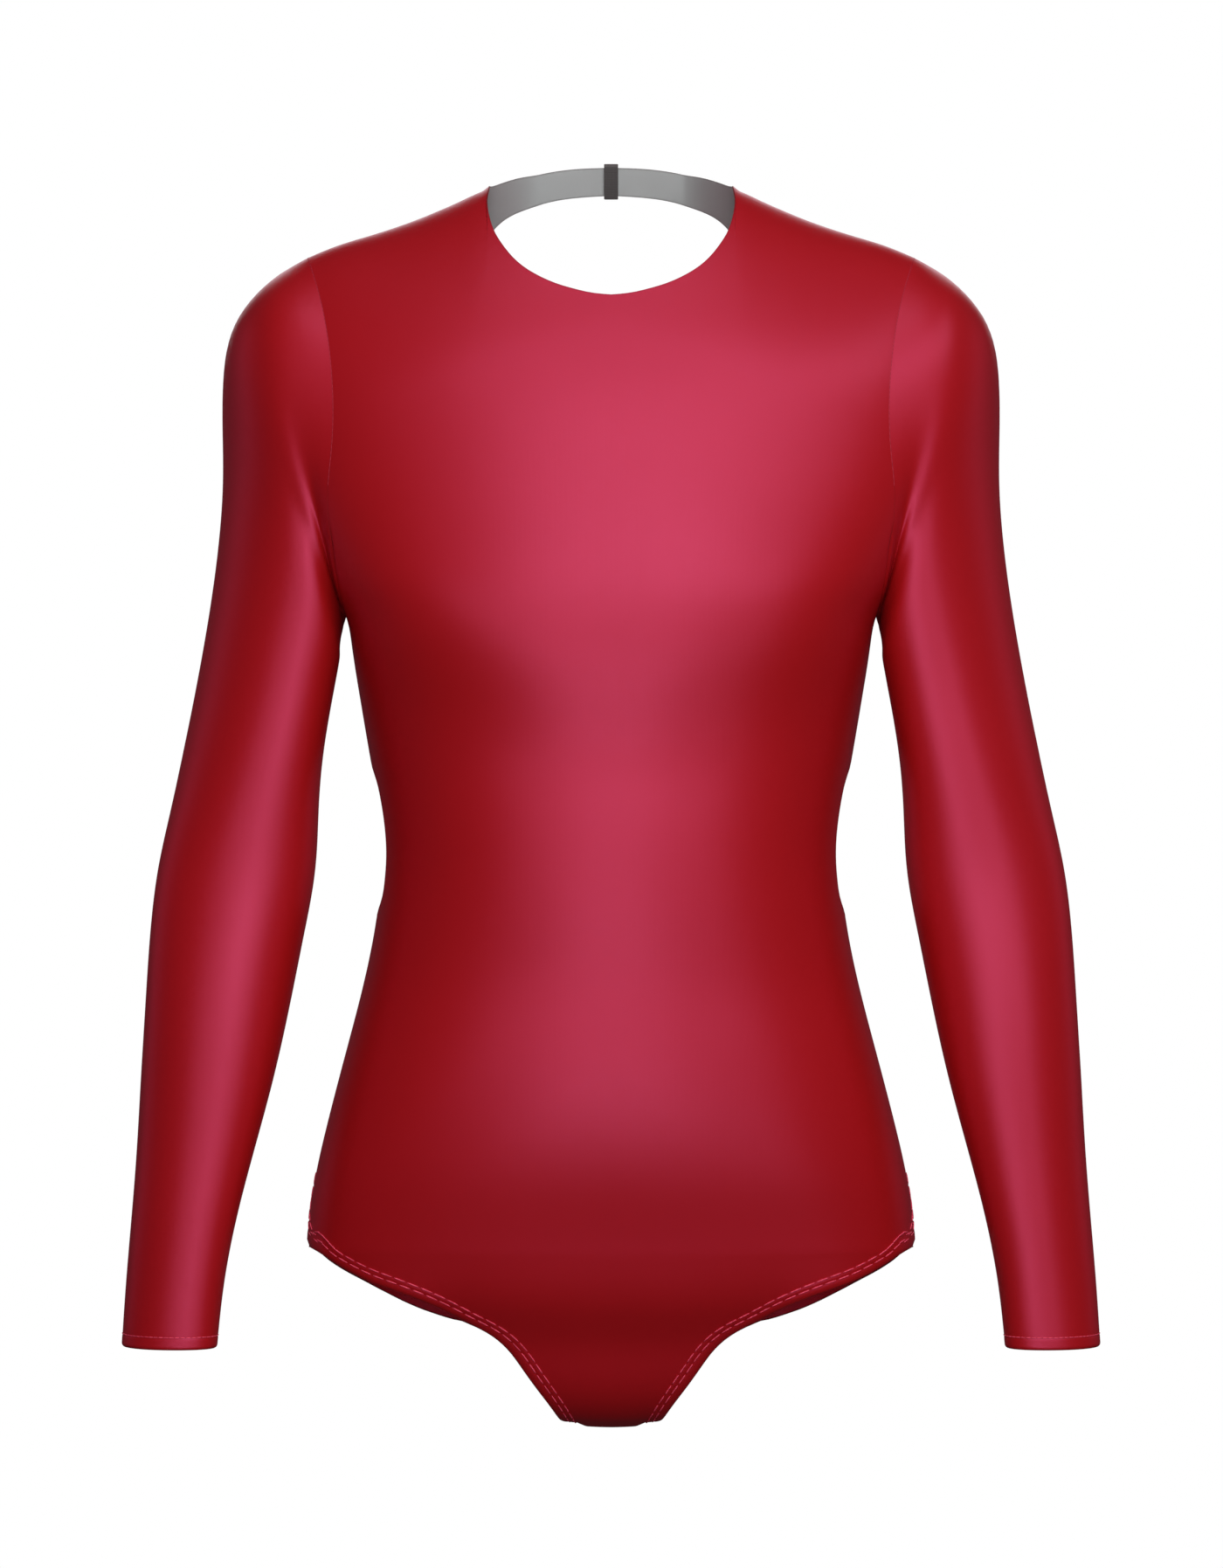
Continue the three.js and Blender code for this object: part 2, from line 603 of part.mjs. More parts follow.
// One upper back piece: half the nape strap, the shoulder, and a strip down beside the armhole to the waist
function upperBackPiece() {
  const steps = upperBackSteps;
  const sideSeam = (share) => ({ across: 1, level: THREE.MathUtils.lerp(armholeLow, upperBackLow, share) });
  const outer = [
    { edge: edges.backNeck, rows: steps.strapRows, innerTo: openBackShares.neck },
    { edge: edges.backShoulder, rows: steps.shoulderRows, innerTo: openBackShares.shoulder },
    { edge: edges.backArmhole, rows: steps.armRows, innerTo: openBackShares.armhole },
    { edge: sideSeam, rows: steps.sideRows, innerTo: openBackShares.side },
  ];
  const grid = [];
  let innerFrom = 0;
  outer.forEach(({ edge, rows, innerTo }, part) => {
    for (let r = part === 0 ? 0 : 1; r <= rows; r++) {
      const share = r / rows;
      const inside = edges.openingUpper(THREE.MathUtils.lerp(innerFrom, innerTo, share));
      const outside = edge(share);
      const spotAt = (_, c) => bodySpot(1, blend(inside, outside, c / steps.columns));
      grid.push(Array.from({ length: steps.columns + 1 }, spotAt));
    }
    innerFrom = innerTo;
  });
  for (const spot of grid[0]) spot.point.x = seamGap / 2;
  return clothWallFrom(grid);
}

// The shares at which a line should be read for its points to stand evenly along it
function evenShares(pointAt, count) {
  const samples = Array.from({ length: lineSamples + 1 }, (_, i) => pointAt(i / lineSamples));
  const lengths = [0];
  for (let i = 1; i <= lineSamples; i++) lengths.push(lengths[i - 1] + samples[i].distanceTo(samples[i - 1]));
  return Array.from({ length: count + 1 }, (_, i) => {
    const goal = (lengths[lineSamples] * i) / count;
    let low = 0;
    while (low < lineSamples - 1 && lengths[low + 1] < goal) low++;
    return (low + (goal - lengths[low]) / (lengths[low + 1] - lengths[low])) / lineSamples;
  });
}

function ringPoints(ring, around) {
  const power = 2 / sleeveSquare;
  const leaning = (ring.lean * (ring.front + ring.back)) / 2;
  const halfWidth = Math.sqrt(((ring.outerX - ring.innerX) / 2) ** 2 - leaning ** 2);
  const half = (side) => (share) => {
    const turn = share * Math.PI;
    const run = Math.sign(Math.cos(turn)) * Math.abs(Math.cos(turn)) ** power;
    const reach = (side < 0 ? ring.front : ring.back) * Math.abs(Math.sin(turn)) ** power;
    return new THREE.Vector3(
      (ring.outerX + ring.innerX) / 2 + halfWidth * run + ring.lean * side * reach,
      ring.centre + side * reach,
      (ring.outerZ + ring.innerZ) / 2 + ((ring.outerZ - ring.innerZ) / 2) * run,
    );
  };
  const [front, back] = [half(-1), half(1)];
  return joinHalves(evenShares(front, around / 2).map(front), evenShares(back, around / 2).map(back));
}

// A ring from its outer point round the back to its inner point, and on round the front
function joinHalves(front, back) {
  return [...back.slice(0, -1), ...[...front].reverse().slice(0, -1)];
}

// The spots of the armhole, moved out by the seam gap, where the sleeve begins
function armholeSpots(around) {
  const half = (side, edge) =>
    Array.from({ length: around / 2 + 1 }, (_, i) => {
      const spot = bodySpot(side, edge((2 * i) / around));
      spot.point.x += sleeveSeamGap;
      return spot;
    });
  return joinHalves(half(-1, edges.frontArmhole), half(1, edges.backArmhole));
}

// Adds the outward direction at each point of a tube of rings, read from its neighbours
function tubeSpots(rings) {
  const last = rings.length - 1;
  return rings.map((ring, r) =>
    ring.map((point, c) => {
      const along = rings[Math.min(r + 1, last)][c].clone().sub(rings[Math.max(r - 1, 0)][c]);
      const over = ring[(c + 1) % ring.length].clone().sub(ring[(c + ring.length - 1) % ring.length]);
      return { point, normal: over.cross(along).negate().normalize() };
    }),
  );
}

// Sleeve: a tube through the armhole and the rings, splined along each of its lines
function sleeve() {
  const steps = sleeveSteps;
  const armhole = armholeSpots(steps.around);
  const rings = [
    armhole.map((spot) => spot.point),
    ...sleeveRings.map((ring) => ringPoints(ring, steps.around)),
  ];
  const knots = [0];
  for (let i = 1; i < rings.length; i++) {
    const moved = rings[i].reduce((sum, point, c) => sum + point.distanceTo(rings[i - 1][c]), 0);
    knots.push(knots[i - 1] + moved / steps.around);
  }
  const end = knots[knots.length - 1];
  const capEnd = knots[lowestCapRing + 1];
  const hemStart = end - cuffHem.depth;
  const stations = [];
  for (let i = 0; i < steps.capRows; i++) stations.push((capEnd * i) / steps.capRows);
  for (let i = 0; i < steps.armRows; i++) stations.push(capEnd + ((hemStart - capEnd) * i) / steps.armRows);
  for (let i = 0; i <= steps.hemRows; i++) stations.push(hemStart + (cuffHem.depth * i) / steps.hemRows);
  const lines = rings[0].map((_, c) => {
    const along = (name) => curveThrough(knots, rings.map((ring) => ring[c][name]));
    return { x: along("x"), y: along("y"), z: along("z") };
  });
  const grid = tubeSpots(
    stations.map((at) => lines.map((line) => new THREE.Vector3(line.x(at), line.y(at), line.z(at)))),
  );
  grid[0].forEach((spot, c) => {
    const leaving = grid[1][c].point.clone().sub(spot.point);
    if (leaving.dot(armhole[c].normal) < 0) spot.normal.copy(armhole[c].normal);
  });
  const cuffZ = sleeveRings[sleeveRings.length - 1].outerZ;
  return clothWallFrom(grid.reverse(), { wraps: true, raiseAt: (p) => hemSwell(p.z - cuffZ, cuffHem) });
}

// Closing tape: a flat loop round the two strap ends, leaning as the strap does
function closingTape() {
  const upper = bodyPoint(1, 0, tape.middleZ + tape.strapHeight / 2);
  const lower = bodyPoint(1, 0, tape.middleZ - tape.strapHeight / 2);
  const lean = Math.atan2(lower.y - upper.y, upper.z - lower.z);
  const strapMiddle = upper.clone().add(lower).multiplyScalar(0.5);
  const insideHalfHeight = upper.distanceTo(lower) / 2 + tape.clearance;
  const insideHalfDepth = clothWall / 2 + tape.clearance;
  const rectangle = (path, halfDepth, halfHeight) => {
    path.moveTo(-halfDepth, -halfHeight);
    path.lineTo(halfDepth, -halfHeight);
    path.lineTo(halfDepth, halfHeight);
    path.lineTo(-halfDepth, halfHeight);
    path.closePath();
    return path;
  };
  const outline = rectangle(new THREE.Shape(), insideHalfDepth + tape.wall, insideHalfHeight + tape.wall);
  outline.holes.push(rectangle(new THREE.Path(), insideHalfDepth, insideHalfHeight));
  const geometry = new THREE.ExtrudeGeometry(outline, { depth: tape.width, bevelEnabled: false });
  geometry.translate(0, 0, -tape.width / 2);
  geometry.rotateY(Math.PI / 2);
  geometry.rotateX(Math.PI / 2);
  const mesh = named("closing_tape", geometry, tapeFinish);
  mesh.rotation.x = lean;
  mesh.position.copy(strapMiddle).y -= clothWall / 2;
  return mesh;
}

function mirrored(geometry) {
  const copy = geometry.clone();
  const position = copy.getAttribute("position");
  for (let i = 0; i < position.count; i++) position.setX(i, -position.getX(i));
  const index = copy.getIndex();
  for (let i = 0; i < index.count; i += 3) {
    const first = index.getX(i);
    index.setX(i, index.getX(i + 1));
    index.setX(i + 1, first);
  }
  copy.computeVertexNormals();
  return copy;
}

function named(name, geometry, finish = clothFinish) {
  const mesh = new THREE.Mesh(geometry, new THREE.MeshStandardMaterial(finish));
  mesh.name = name;
  return mesh;
}

const leotard = new THREE.Group();
const leftSleeve = sleeve();
const leftBack = upperBackPiece();
leotard.add(
  named("front_panel", frontPanel()),
  named("seat_panel", seatPanel()),
  named("upper_back_left", leftBack),
  named("upper_back_right", mirrored(leftBack)),
  named("sleeve_left", leftSleeve),
  named("sleeve_right", mirrored(leftSleeve)),
  closingTape(),
);

export default leotard;
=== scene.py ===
import math
import bmesh
import bpy
import numpy as np
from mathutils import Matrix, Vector


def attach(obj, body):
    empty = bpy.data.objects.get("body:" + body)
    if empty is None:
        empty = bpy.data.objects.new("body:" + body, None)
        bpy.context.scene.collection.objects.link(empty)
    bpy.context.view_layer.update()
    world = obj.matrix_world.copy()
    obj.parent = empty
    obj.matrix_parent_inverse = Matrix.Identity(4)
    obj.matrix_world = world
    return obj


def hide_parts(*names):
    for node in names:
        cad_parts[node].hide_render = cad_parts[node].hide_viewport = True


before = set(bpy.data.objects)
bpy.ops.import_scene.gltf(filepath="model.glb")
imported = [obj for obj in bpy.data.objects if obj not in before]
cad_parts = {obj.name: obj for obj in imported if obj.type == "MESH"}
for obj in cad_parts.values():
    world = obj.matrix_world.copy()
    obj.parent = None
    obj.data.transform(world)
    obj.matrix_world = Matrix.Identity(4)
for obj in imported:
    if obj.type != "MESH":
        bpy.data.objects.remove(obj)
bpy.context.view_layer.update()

# A long-sleeved stretch leotard, worn but with nobody in it: satin outside, grey knit inside.
# Tables are in millimetres, in the part's own frame: +Z up, front towards -Y, origin between the shoulders.
mm = 0.001
scene = bpy.context.scene

seams = {"wall": 0.8, "gap": 0.06, "sleeveGap": 0.12}
levels = {"armhole": -213.5, "cutTop": -291.0, "cutBottom": -377.0, "hip": -552.5, "crotch": -700.0}
shoulderFall = {"height": 100.0, "start": 2.4, "end": 1.8}
neckRoot = {"x": 76.0, "rise": 30.0, "reach": 9.0}  # from here in, the front's ridge levels off

# body sections: level, half width, reach to the front, reach to the back, centre, squareness front and back
bodyColumns = ("level", "halfWidth", "front", "back", "centre", "frontSquare", "backSquare")
bodySections = [
    (60, 192, 40, 46, 0, 2.3, 2.5),
    (35, 194, 43, 56, 0, 2.3, 2.5),
    (15, 196, 46, 64.5, 0, 2.3, 2.5),
    (-12, 197, 53, 74, 0, 2.3, 2.5),
    (-45, 197, 66, 83, 1, 2.3, 2.5),
    (-75, 193, 80, 89, 3, 2.32, 2.5),
    (-105, 186, 93, 93, 5, 2.36, 2.5),
    (-135, 178, 104, 94, 7, 2.46, 2.5),
    (-160, 169, 111.5, 93, 8, 2.6, 2.5),
    (-182, 159.5, 116.5, 91, 9, 2.78, 2.5),
    (-200, 150, 119, 88, 9.5, 2.95, 2.5),
    (-213.5, 142.8, 120, 85.5, 10, 3.0, 2.5),
    (-230, 139.4, 119.5, 83, 10, 2.8, 2.45),
    (-258, 135.2, 115, 78, 9, 2.42, 2.4),
    (-291, 129.6, 109.5, 73, 8, 2.3, 2.35),
    (-318, 125.2, 108.5, 70, 7, 2.28, 2.35),
    (-343, 123.6, 107.5, 69, 6, 2.26, 2.35),
    (-376, 126.2, 104.5, 72, 5, 2.28, 2.35),
    (-410, 132.8, 101.5, 80.5, 5, 2.3, 2.4),
    (-447, 142.3, 100.5, 93, 5, 2.34, 2.45),
    (-485, 152.2, 96.5, 105, 5, 2.4, 2.5),
    (-517, 159.4, 89, 112, 5, 2.42, 2.5),
    (-552.5, 163.6, 78, 114, 5, 2.4, 2.5),
    (-590, 163.6, 72.5, 112.5, 5, 2.32, 2.4),
    (-626, 163.6, 73.5, 105.5, 5, 2.15, 2.2),
    (-658, 163.6, 86.5, 98.4, 5, 2, 2.05),
    (-680, 163.6, 94.8, 96.2, 5, 1.92, 1.93),
    (-700, 163.6, 96.6, 96.6, 5, 1.85, 1.85),
]
shoulderRidge = [
    (40, 90), (48, 62), (55, 40), (60, 27.5), (65.5, 17.5), (72, 13.4), (80, 9.7),
    (91, 4.8), (102, 0.2), (118, -5.6), (131, -9.7), (146, -14.3), (163, -21.2), (185, -31.5),
]
frontNeck = [
    (0, -46.2), (9.8, -45.2), (20, -42.8), (28.8, -40), (39, -35.2), (46.6, -30.2), (52.5, -24.6),
    (57.8, -17.6), (61.6, -11.2), (64.4, -3.5), (66, 4), (66.4, 10), (65.5, 17.5),
]
backNeck = [
    (0, 32.7), (18, 32.1), (35, 30), (44, 28), (49, 26.5), (54, 24.3), (58, 22.1), (61.5, 19.9), (63.8, 18.4),
    (65.5, 17.5),
]
frontArmhole = [
    (163, -21.2), (157.2, -38), (151.6, -60), (147.9, -86), (146.8, -108), (147.8, -130), (149.6, -150),
    (149.3, -163), (148.2, -176), (146.8, -189), (145, -202), (142.8, -213.5),
]
backArmhole = [
    (163, -21.2), (157.5, -38), (152.5, -60), (149.5, -86), (148.6, -112), (149.2, -140), (149.8, -162),
    (148.4, -183), (145.8, -201), (142.8, -213.5),
]
frontLeg = [
    (163.6, -552.5), (160.2, -553.6), (154.9, -555.9), (147.3, -560.2), (137.3, -565.2), (128.4, -569),
    (117.7, -572.6), (107.9, -576), (98.1, -579.8), (90.7, -583.1), (82.9, -587.2), (75.1, -591.5),
    (64.5, -597.4), (54.9, -605.8), (47.6, -616), (39, -628.8), (31.6, -640), (27.5, -647.6),
]
backLeg = [
    (163.6, -552.5), (160, -559), (152.5, -567), (143.6, -573.5), (134.7, -579), (127.5, -583.5),
    (119.6, -588), (109.6, -593), (97.6, -597.5), (87.4, -601), (76, -604.8), (66, -610), (56, -617),
    (46, -626.5), (38, -635.5), (32, -642), (27.5, -647.6),
]
openingUpper = [
    (0, 18.4), (18, 17.3), (34, 14.9), (47, 10.6), (57, 5), (63.5, -1), (69, -8.5), (75.5, -19.5),
    (84.5, -37.5), (93, -62), (100.5, -92), (107, -126), (113, -162), (118.5, -200), (123.3, -236),
    (127, -266), (129.4, -289.5),
]
openingLower = [(126.1, -378.5), (121, -388), (110, -400), (92, -414), (68, -427), (38, -436.5), (0, -440)]
sideCut = [
    (-291, 1), (-299, 0.905), (-311, 0.86), (-328, 0.842), (-344, 0.838), (-357, 0.85), (-368, 0.888), (-377, 1),
]


def smoothCurve(knots, values):
    # natural cubic through the knots
    x, y = np.array(knots, float), np.array(values, float)
    n = len(x)
    h = np.diff(x)
    system, right = np.eye(n), np.zeros(n)
    for i in range(1, n - 1):
        system[i, i - 1:i + 2] = h[i - 1], 2 * (h[i - 1] + h[i]), h[i]
        right[i] = 6 * ((y[i + 1] - y[i]) / h[i] - (y[i] - y[i - 1]) / h[i - 1])
    bend = np.linalg.solve(system, right)

    def at(t):
        t = np.asarray(t, float)
        i = np.clip(np.searchsorted(x, t) - 1, 0, n - 2)
        b = (t - x[i]) / h[i]
        a = 1 - b
        cubic = ((a ** 3 - a) * bend[i] + (b ** 3 - b) * bend[i + 1]) * h[i] ** 2 / 6
        return a * y[i] + b * y[i + 1] + cubic

    return at


sortedSections = sorted(bodySections)
bodyCurve = {
    name: smoothCurve([row[0] for row in sortedSections], [row[i] for row in sortedSections])
    for i, name in enumerate(bodyColumns)
}
ridgeHeight = smoothCurve([p[0] for p in shoulderRidge], [p[1] for p in shoulderRidge])
cutAcross = smoothCurve([p[0] for p in reversed(sideCut)], [p[1] for p in reversed(sideCut)])
neckRoot["height"] = float(ridgeHeight(neckRoot["x"]))
neckRoot["slope"] = float(ridgeHeight(neckRoot["x"] - 0.1) - neckRoot["height"]) / 0.1


def smoothStep(t):
    t = np.clip(t, 0, 1)
    return t * t * (3 - 2 * t)


def ridgeOn(side, x, level):
    seam = ridgeHeight(np.maximum(x, shoulderRidge[0][0]))
    if side > 0:
        return seam
    inside = np.maximum(0, neckRoot["x"] - x)
    levelled = neckRoot["height"] + neckRoot["rise"] * (1 - np.exp(-inside * neckRoot["slope"] / neckRoot["rise"]))
    near = smoothStep((level - levelled) / neckRoot["reach"] + 1)
    return np.where(inside > 0, levelled + (seam - levelled) * near, seam)


def depthShare(side, x, level):
    rise = np.clip((level - ridgeOn(side, x, level) + shoulderFall["height"]) / shoulderFall["height"], 0, 1)
    return (1 - rise ** shoulderFall["start"]) ** (1 / shoulderFall["end"])


def sectionAt(side, level):
    word = "front" if side < 0 else "back"
    return (bodyCurve["halfWidth"](level), bodyCurve[word](level), bodyCurve["centre"](level),
            2 / bodyCurve[word + "Square"](level))


def bodyPoint(side, across, level):
    # across runs from 0 at the centre to 1 at the side; below the hip the level turns like a fan
    across, level = np.asarray(across, float), np.asarray(level, float)
    halfWidth, reach, centre, power = sectionAt(side, level)
    turn = np.clip(across, 0, 1) * math.pi / 2
    x = halfWidth * np.sin(turn) ** power
    depth = reach * np.maximum(np.cos(turn), 0) ** power * depthShare(side, x, level)
    fan = np.maximum(0, levels["hip"] - level) / (levels["hip"] - levels["crotch"]) * math.pi / 2
    y = centre + side * (depth * np.cos(fan) + seams["gap"] / 2)
    z = np.maximum(level, levels["hip"]) - depth * np.sin(fan)
    return np.stack([x, y, z], -1)


def bodySlopes(side, across, level):
    # how a point moves as it goes across and as it goes up
    step, rise = 0.0005, 0.02
    inside = np.clip(across, step, 1 - step)
    over = (bodyPoint(side, inside + step, level) - bodyPoint(side, inside - step, level)) / (2 * step)
    up = (bodyPoint(side, inside, level + rise) - bodyPoint(side, inside, level - rise)) / (2 * rise)
    return over, up


def unit(v):
    return v / np.maximum(np.linalg.norm(v, axis=-1, keepdims=True), 1e-12)


def bodyNormal(side, across, level):
    over, up = bodySlopes(side, across, level)
    return unit(np.cross(over, up)) * -side


placePasses = 30


def placeOf(side, x, z):
    # the place on the body of a point seen from the front or the back, found by halving
    def acrossAt(level):
        halfWidth, _, _, power = sectionAt(side, level)
        return np.arcsin(np.minimum(1, x / halfWidth) ** (1 / power)) * 2 / math.pi

    above, below = np.full_like(z, levels["hip"]), np.full_like(z, levels["crotch"])
    for _ in range(placePasses):
        level = (above + below) / 2
        higher = bodyPoint(side, acrossAt(level), level)[..., 2] > z
        above, below = np.where(higher, level, above), np.where(higher, below, level)
    level = np.where(z < levels["hip"], below, z)
    return acrossAt(level), level


class BodyEdge:
    # an edge drawn on the body through a table of x and z, read evenly along its real length
    def __init__(self, side, rows, heightAt=None, samples=600):
        x = np.array([row[0] for row in rows], float)
        z = np.array([row[1] for row in rows], float)
        knots = np.concatenate([[0], np.cumsum(np.hypot(np.diff(x), np.diff(z)))])
        at = np.linspace(0, knots[-1], samples)
        xs = np.maximum(0, smoothCurve(knots, x)(at))
        zs = heightAt(xs) if heightAt else smoothCurve(knots, z)(at)
        self.side = side
        self.across, self.level = placeOf(side, xs, zs)
        self.points = bodyPoint(side, self.across, self.level)
        self.lengths = np.concatenate([[0], np.cumsum(np.linalg.norm(np.diff(self.points, axis=0), axis=1))])

    def __call__(self, share):
        goal = np.clip(share, 0, 1) * self.lengths[-1]
        return np.interp(goal, self.lengths, self.across), np.interp(goal, self.lengths, self.level)


shoulderSeam = [p for p in shoulderRidge if frontNeck[-1][0] <= p[0] <= frontArmhole[0][0]]
edge = {
    "frontNeck": BodyEdge(-1, frontNeck),
    "backNeck": BodyEdge(1, backNeck),
    "frontShoulder": BodyEdge(-1, shoulderSeam, ridgeHeight),
    "backShoulder": BodyEdge(1, shoulderSeam, ridgeHeight),
    "frontArmhole": BodyEdge(-1, frontArmhole),
    "backArmhole": BodyEdge(1, backArmhole),
    "frontLeg": BodyEdge(-1, frontLeg),
    "backLeg": BodyEdge(1, backLeg),
    "openingUpper": BodyEdge(1, openingUpper),
    "openingLower": BodyEdge(1, openingLower),
}


def distanceTo(points, edgeName):
    # least distance from each point to an edge, taken at every other point of it
    line, flat = edge[edgeName].points, points.reshape(-1, 3)
    best = np.full(len(flat), np.inf)
    for a, b in zip(line[:-1:2], line[2::2]):
        d = b - a
        t = np.clip(((flat - a) @ d) / max(d @ d, 1e-12), 0, 1)
        best = np.minimum(best, np.linalg.norm(flat - a - t[:, None] * d, axis=1))
    return best.reshape(points.shape[:-1])


# turned hems, in mm: band, stitch rows from the edge, how the edge curls in, how round its fold is, and how far in
# the outer cloth shows on the inside
legHem = {
    "depth": 9.9, "raise": 0.3, "rows": (5.9, 9.0), "pressed": 0.2, "curl": 1.1, "curlReach": 4.2, "fold": 0.3,
    "lined": 18.0,
}
cuffHem = {
    "depth": 7.0, "raise": 0.1, "rows": (6.5,), "pressed": 0.14, "curl": 0.6, "curlReach": 2.0, "fold": 0.3,
    "lined": 7.0,
}
plainEdge = {
    "depth": 0.0, "raise": 0.0, "rows": (), "pressed": 0.0, "curl": 0.0, "curlReach": 1.0, "fold": 0.15, "lined": 0.0,
}
hemSoft = {"inner": 1.6, "outer": 1.5, "start": 0.2, "row": 0.7, "fold": 0.8}


def hemRaise(distance, hem):
    if not hem["depth"]:
        return 0 * distance
    band = np.clip((hem["depth"] - distance) / hemSoft["inner"], 0, 1)
    band *= np.clip(distance / hemSoft["outer"] + hemSoft["start"], 0, 1)
    pressed = sum(np.exp(-((distance - row) / hemSoft["row"]) ** 2) for row in hem["rows"])
    return hem["raise"] * band - hem["pressed"] * pressed


def hemShape(distance, hem):
    # how far the outer and the inner face move along the outward direction
    curl = hem["curl"] * np.clip(1 - distance / hem["curlReach"], 0, 1) ** 2
    fold = hem["fold"] * np.clip(1 - distance / hemSoft["fold"], 0, 1) ** 2
    return hemRaise(distance, hem) - curl - fold, fold - curl


neckCorner = {"x": (52.0, 82.0), "z": (-30.0, 25.0)}


def steadyNormals(mesh, out, points, normals):
    # beside the neck points the columns stand very close, so the outer face takes the body's own directions there
    side = np.abs(points[:, 0])
    (xLow, xHigh), (zLow, zHigh) = neckCorner["x"], neckCorner["z"]
    near = (side > xLow) & (side < xHigh) & (points[:, 2] > zLow) & (points[:, 2] < zHigh)
    if not near.any():
        return
    wanted = np.zeros((len(mesh.loops), 3))
    corners = out.reshape(-1)
    wanted[:len(corners)] = np.where(near[corners, None], normals[corners], 0)
    mesh.normals_split_custom_set(wanted.tolist())


def linked(name, data):
    thing = bpy.data.objects.new(name, data)
    scene.collection.objects.link(thing)
    return thing


def meshFrom(name, points, faces, smooth=False):
    mesh = bpy.data.meshes.new(name)
    mesh.from_pydata(points.tolist(), [], faces)
    mesh.update()
    if smooth:
        mesh.polygons.foreach_set("use_smooth", np.ones(len(mesh.polygons), bool))
    return mesh


def quads(index):
    return np.stack([index[:-1, :-1], index[:-1, 1:], index[1:, 1:], index[1:, :-1]], -1).reshape(-1, 4)


def clothPiece(name, grid, normals, toHem, hem, wraps=False):
    # a closed cloth shell: outer face on the grid, inner face one wall in, and a rim all round
    rows, columns = grid.shape[:2]
    raised, lowered = hemShape(toHem, hem)
    outer = grid + normals * raised[..., None]
    inner = grid + normals * (lowered - seams["wall"])[..., None]
    points = np.concatenate([outer.reshape(-1, 3), inner.reshape(-1, 3)]) * mm
    index = np.arange(rows * columns).reshape(rows, columns)
    if wraps:
        index = np.concatenate([index, index[:, :1]], axis=1)
    shift = rows * columns
    out = quads(index)
    back = out[:, ::-1] + shift
    border = [index[0], index[-1][::-1]]
    if not wraps:
        border += [index[::-1, 0], index[:, -1]]
    rims = []
    for line in border:
        p, q = line[:-1], line[1:]
        rims.append(np.stack([q, p, p + shift, q + shift], -1))
    rim = np.concatenate(rims)
    mesh = meshFrom(name, points, np.concatenate([out, back, rim]).tolist(), smooth=True)
    turned = (toHem.reshape(-1) < hem["lined"])[out].all(axis=1)
    slots = np.concatenate([np.zeros(len(out)), np.where(turned, 0, 1), np.full(len(rim), 2)]).astype(int)
    mesh.polygons.foreach_set("material_index", slots)
    rimKeys = {tuple(sorted((int(p), int(q)))) for line in border for p, q in zip(line[:-1], line[1:])}
    rimKeys |= {(p + shift, q + shift) for p, q in rimKeys}
    keys = np.zeros(len(mesh.edges) * 2, np.int32)
    mesh.edges.foreach_get("vertices", keys)
    sharp = [tuple(sorted(pair)) in rimKeys for pair in keys.reshape(-1, 2).tolist()]
    mesh.attributes.new("sharp_edge", "BOOLEAN", "EDGE").data.foreach_set("value", sharp)
    steadyNormals(mesh, out, grid.reshape(-1, 3), normals.reshape(-1, 3))
    return mesh


def finishPiece(name, mesh, materials, nodes=()):
    piece = linked(name, mesh)
    for material in materials:
        mesh.materials.append(material)
    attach(piece, "root")
    if nodes:
        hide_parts(*nodes)
    return piece


def addMeasures(mesh, alongWidth, alongLength, edgeDistance):
    # cloth measures for the materials: place along the width and length in metres, distance to a free edge in mm,
    # which places the band of painted edge shade
    for name, values in (("clothWidth", alongWidth), ("clothLength", alongLength), ("edgeDistance", edgeDistance)):
        both = np.tile(values.reshape(-1), 2)
        mesh.attributes.new(name, "FLOAT", "POINT").data.foreach_set("value", both.astype(np.float32))


def gridMeasures(grid):
    # length run along each row, from its middle, and along each column
    stepOver = np.linalg.norm(np.diff(grid, axis=1), axis=2)
    stepUp = np.linalg.norm(np.diff(grid, axis=0), axis=2)
    over = np.concatenate([np.zeros((len(grid), 1)), np.cumsum(stepOver, 1)], 1)
    over -= over[:, over.shape[1] // 2][:, None]
    up = np.concatenate([np.zeros((1, grid.shape[1])), np.cumsum(stepUp, 0)], 0)
    return over * mm, up * mm


# the crease in which the arm presses the cloth, along the lower part of each armhole
crease = {
    "from": 0.63, "full": 0.74, "fade": 0.92, "depth": 2.7, "reach": 3.4, "inside": 110, "top": -60, "bottom": -235,
}


def creaseShift(points):
    flat = foldX(points).reshape(-1, 3)
    level = flat[:, 2]
    near = np.nonzero((flat[:, 0] > crease["inside"]) & (level < crease["top"]) & (level > crease["bottom"]))[0]
    if not len(near):
        return 0 * points
    shift = np.zeros_like(flat)
    every = slice(None, None, 4)
    for name in ("frontArmhole", "backArmhole"):
        line = edge[name]
        spots, share = line.points[every], (line.lengths / line.lengths[-1])[every]
        inward = -bodyNormal(line.side, line.across[every], line.level[every])
        apart = np.linalg.norm(flat[near, None] - spots[None], axis=2)
        nearest = apart.argmin(axis=1)
        along = share[nearest]
        ramp = smoothStep((along - crease["from"]) / (crease["full"] - crease["from"]))
        ramp *= 1 - smoothStep((along - crease["fade"]) / (1 - crease["fade"]))
        depth = crease["depth"] * ramp * np.clip(1 - apart.min(axis=1) / crease["reach"], 0, 1) ** 2
        shift[near] += inward[nearest] * depth[:, None]
    shift = shift.reshape(points.shape)
    shift[..., 0] *= np.where(points[..., 0] < 0, -1, 1)
    return shift


# beside each leg hem the crotch seam is drawn up a little, and hangs lower between
seamPull = {
    "notch": 22.0, "notchWidth": 3.2, "notchRise": 1.1, "flat": 12.5, "flatEnd": 20.0, "fall": 1.9, "reach": 14.0,
    "seam": 5, "below": -600,
}


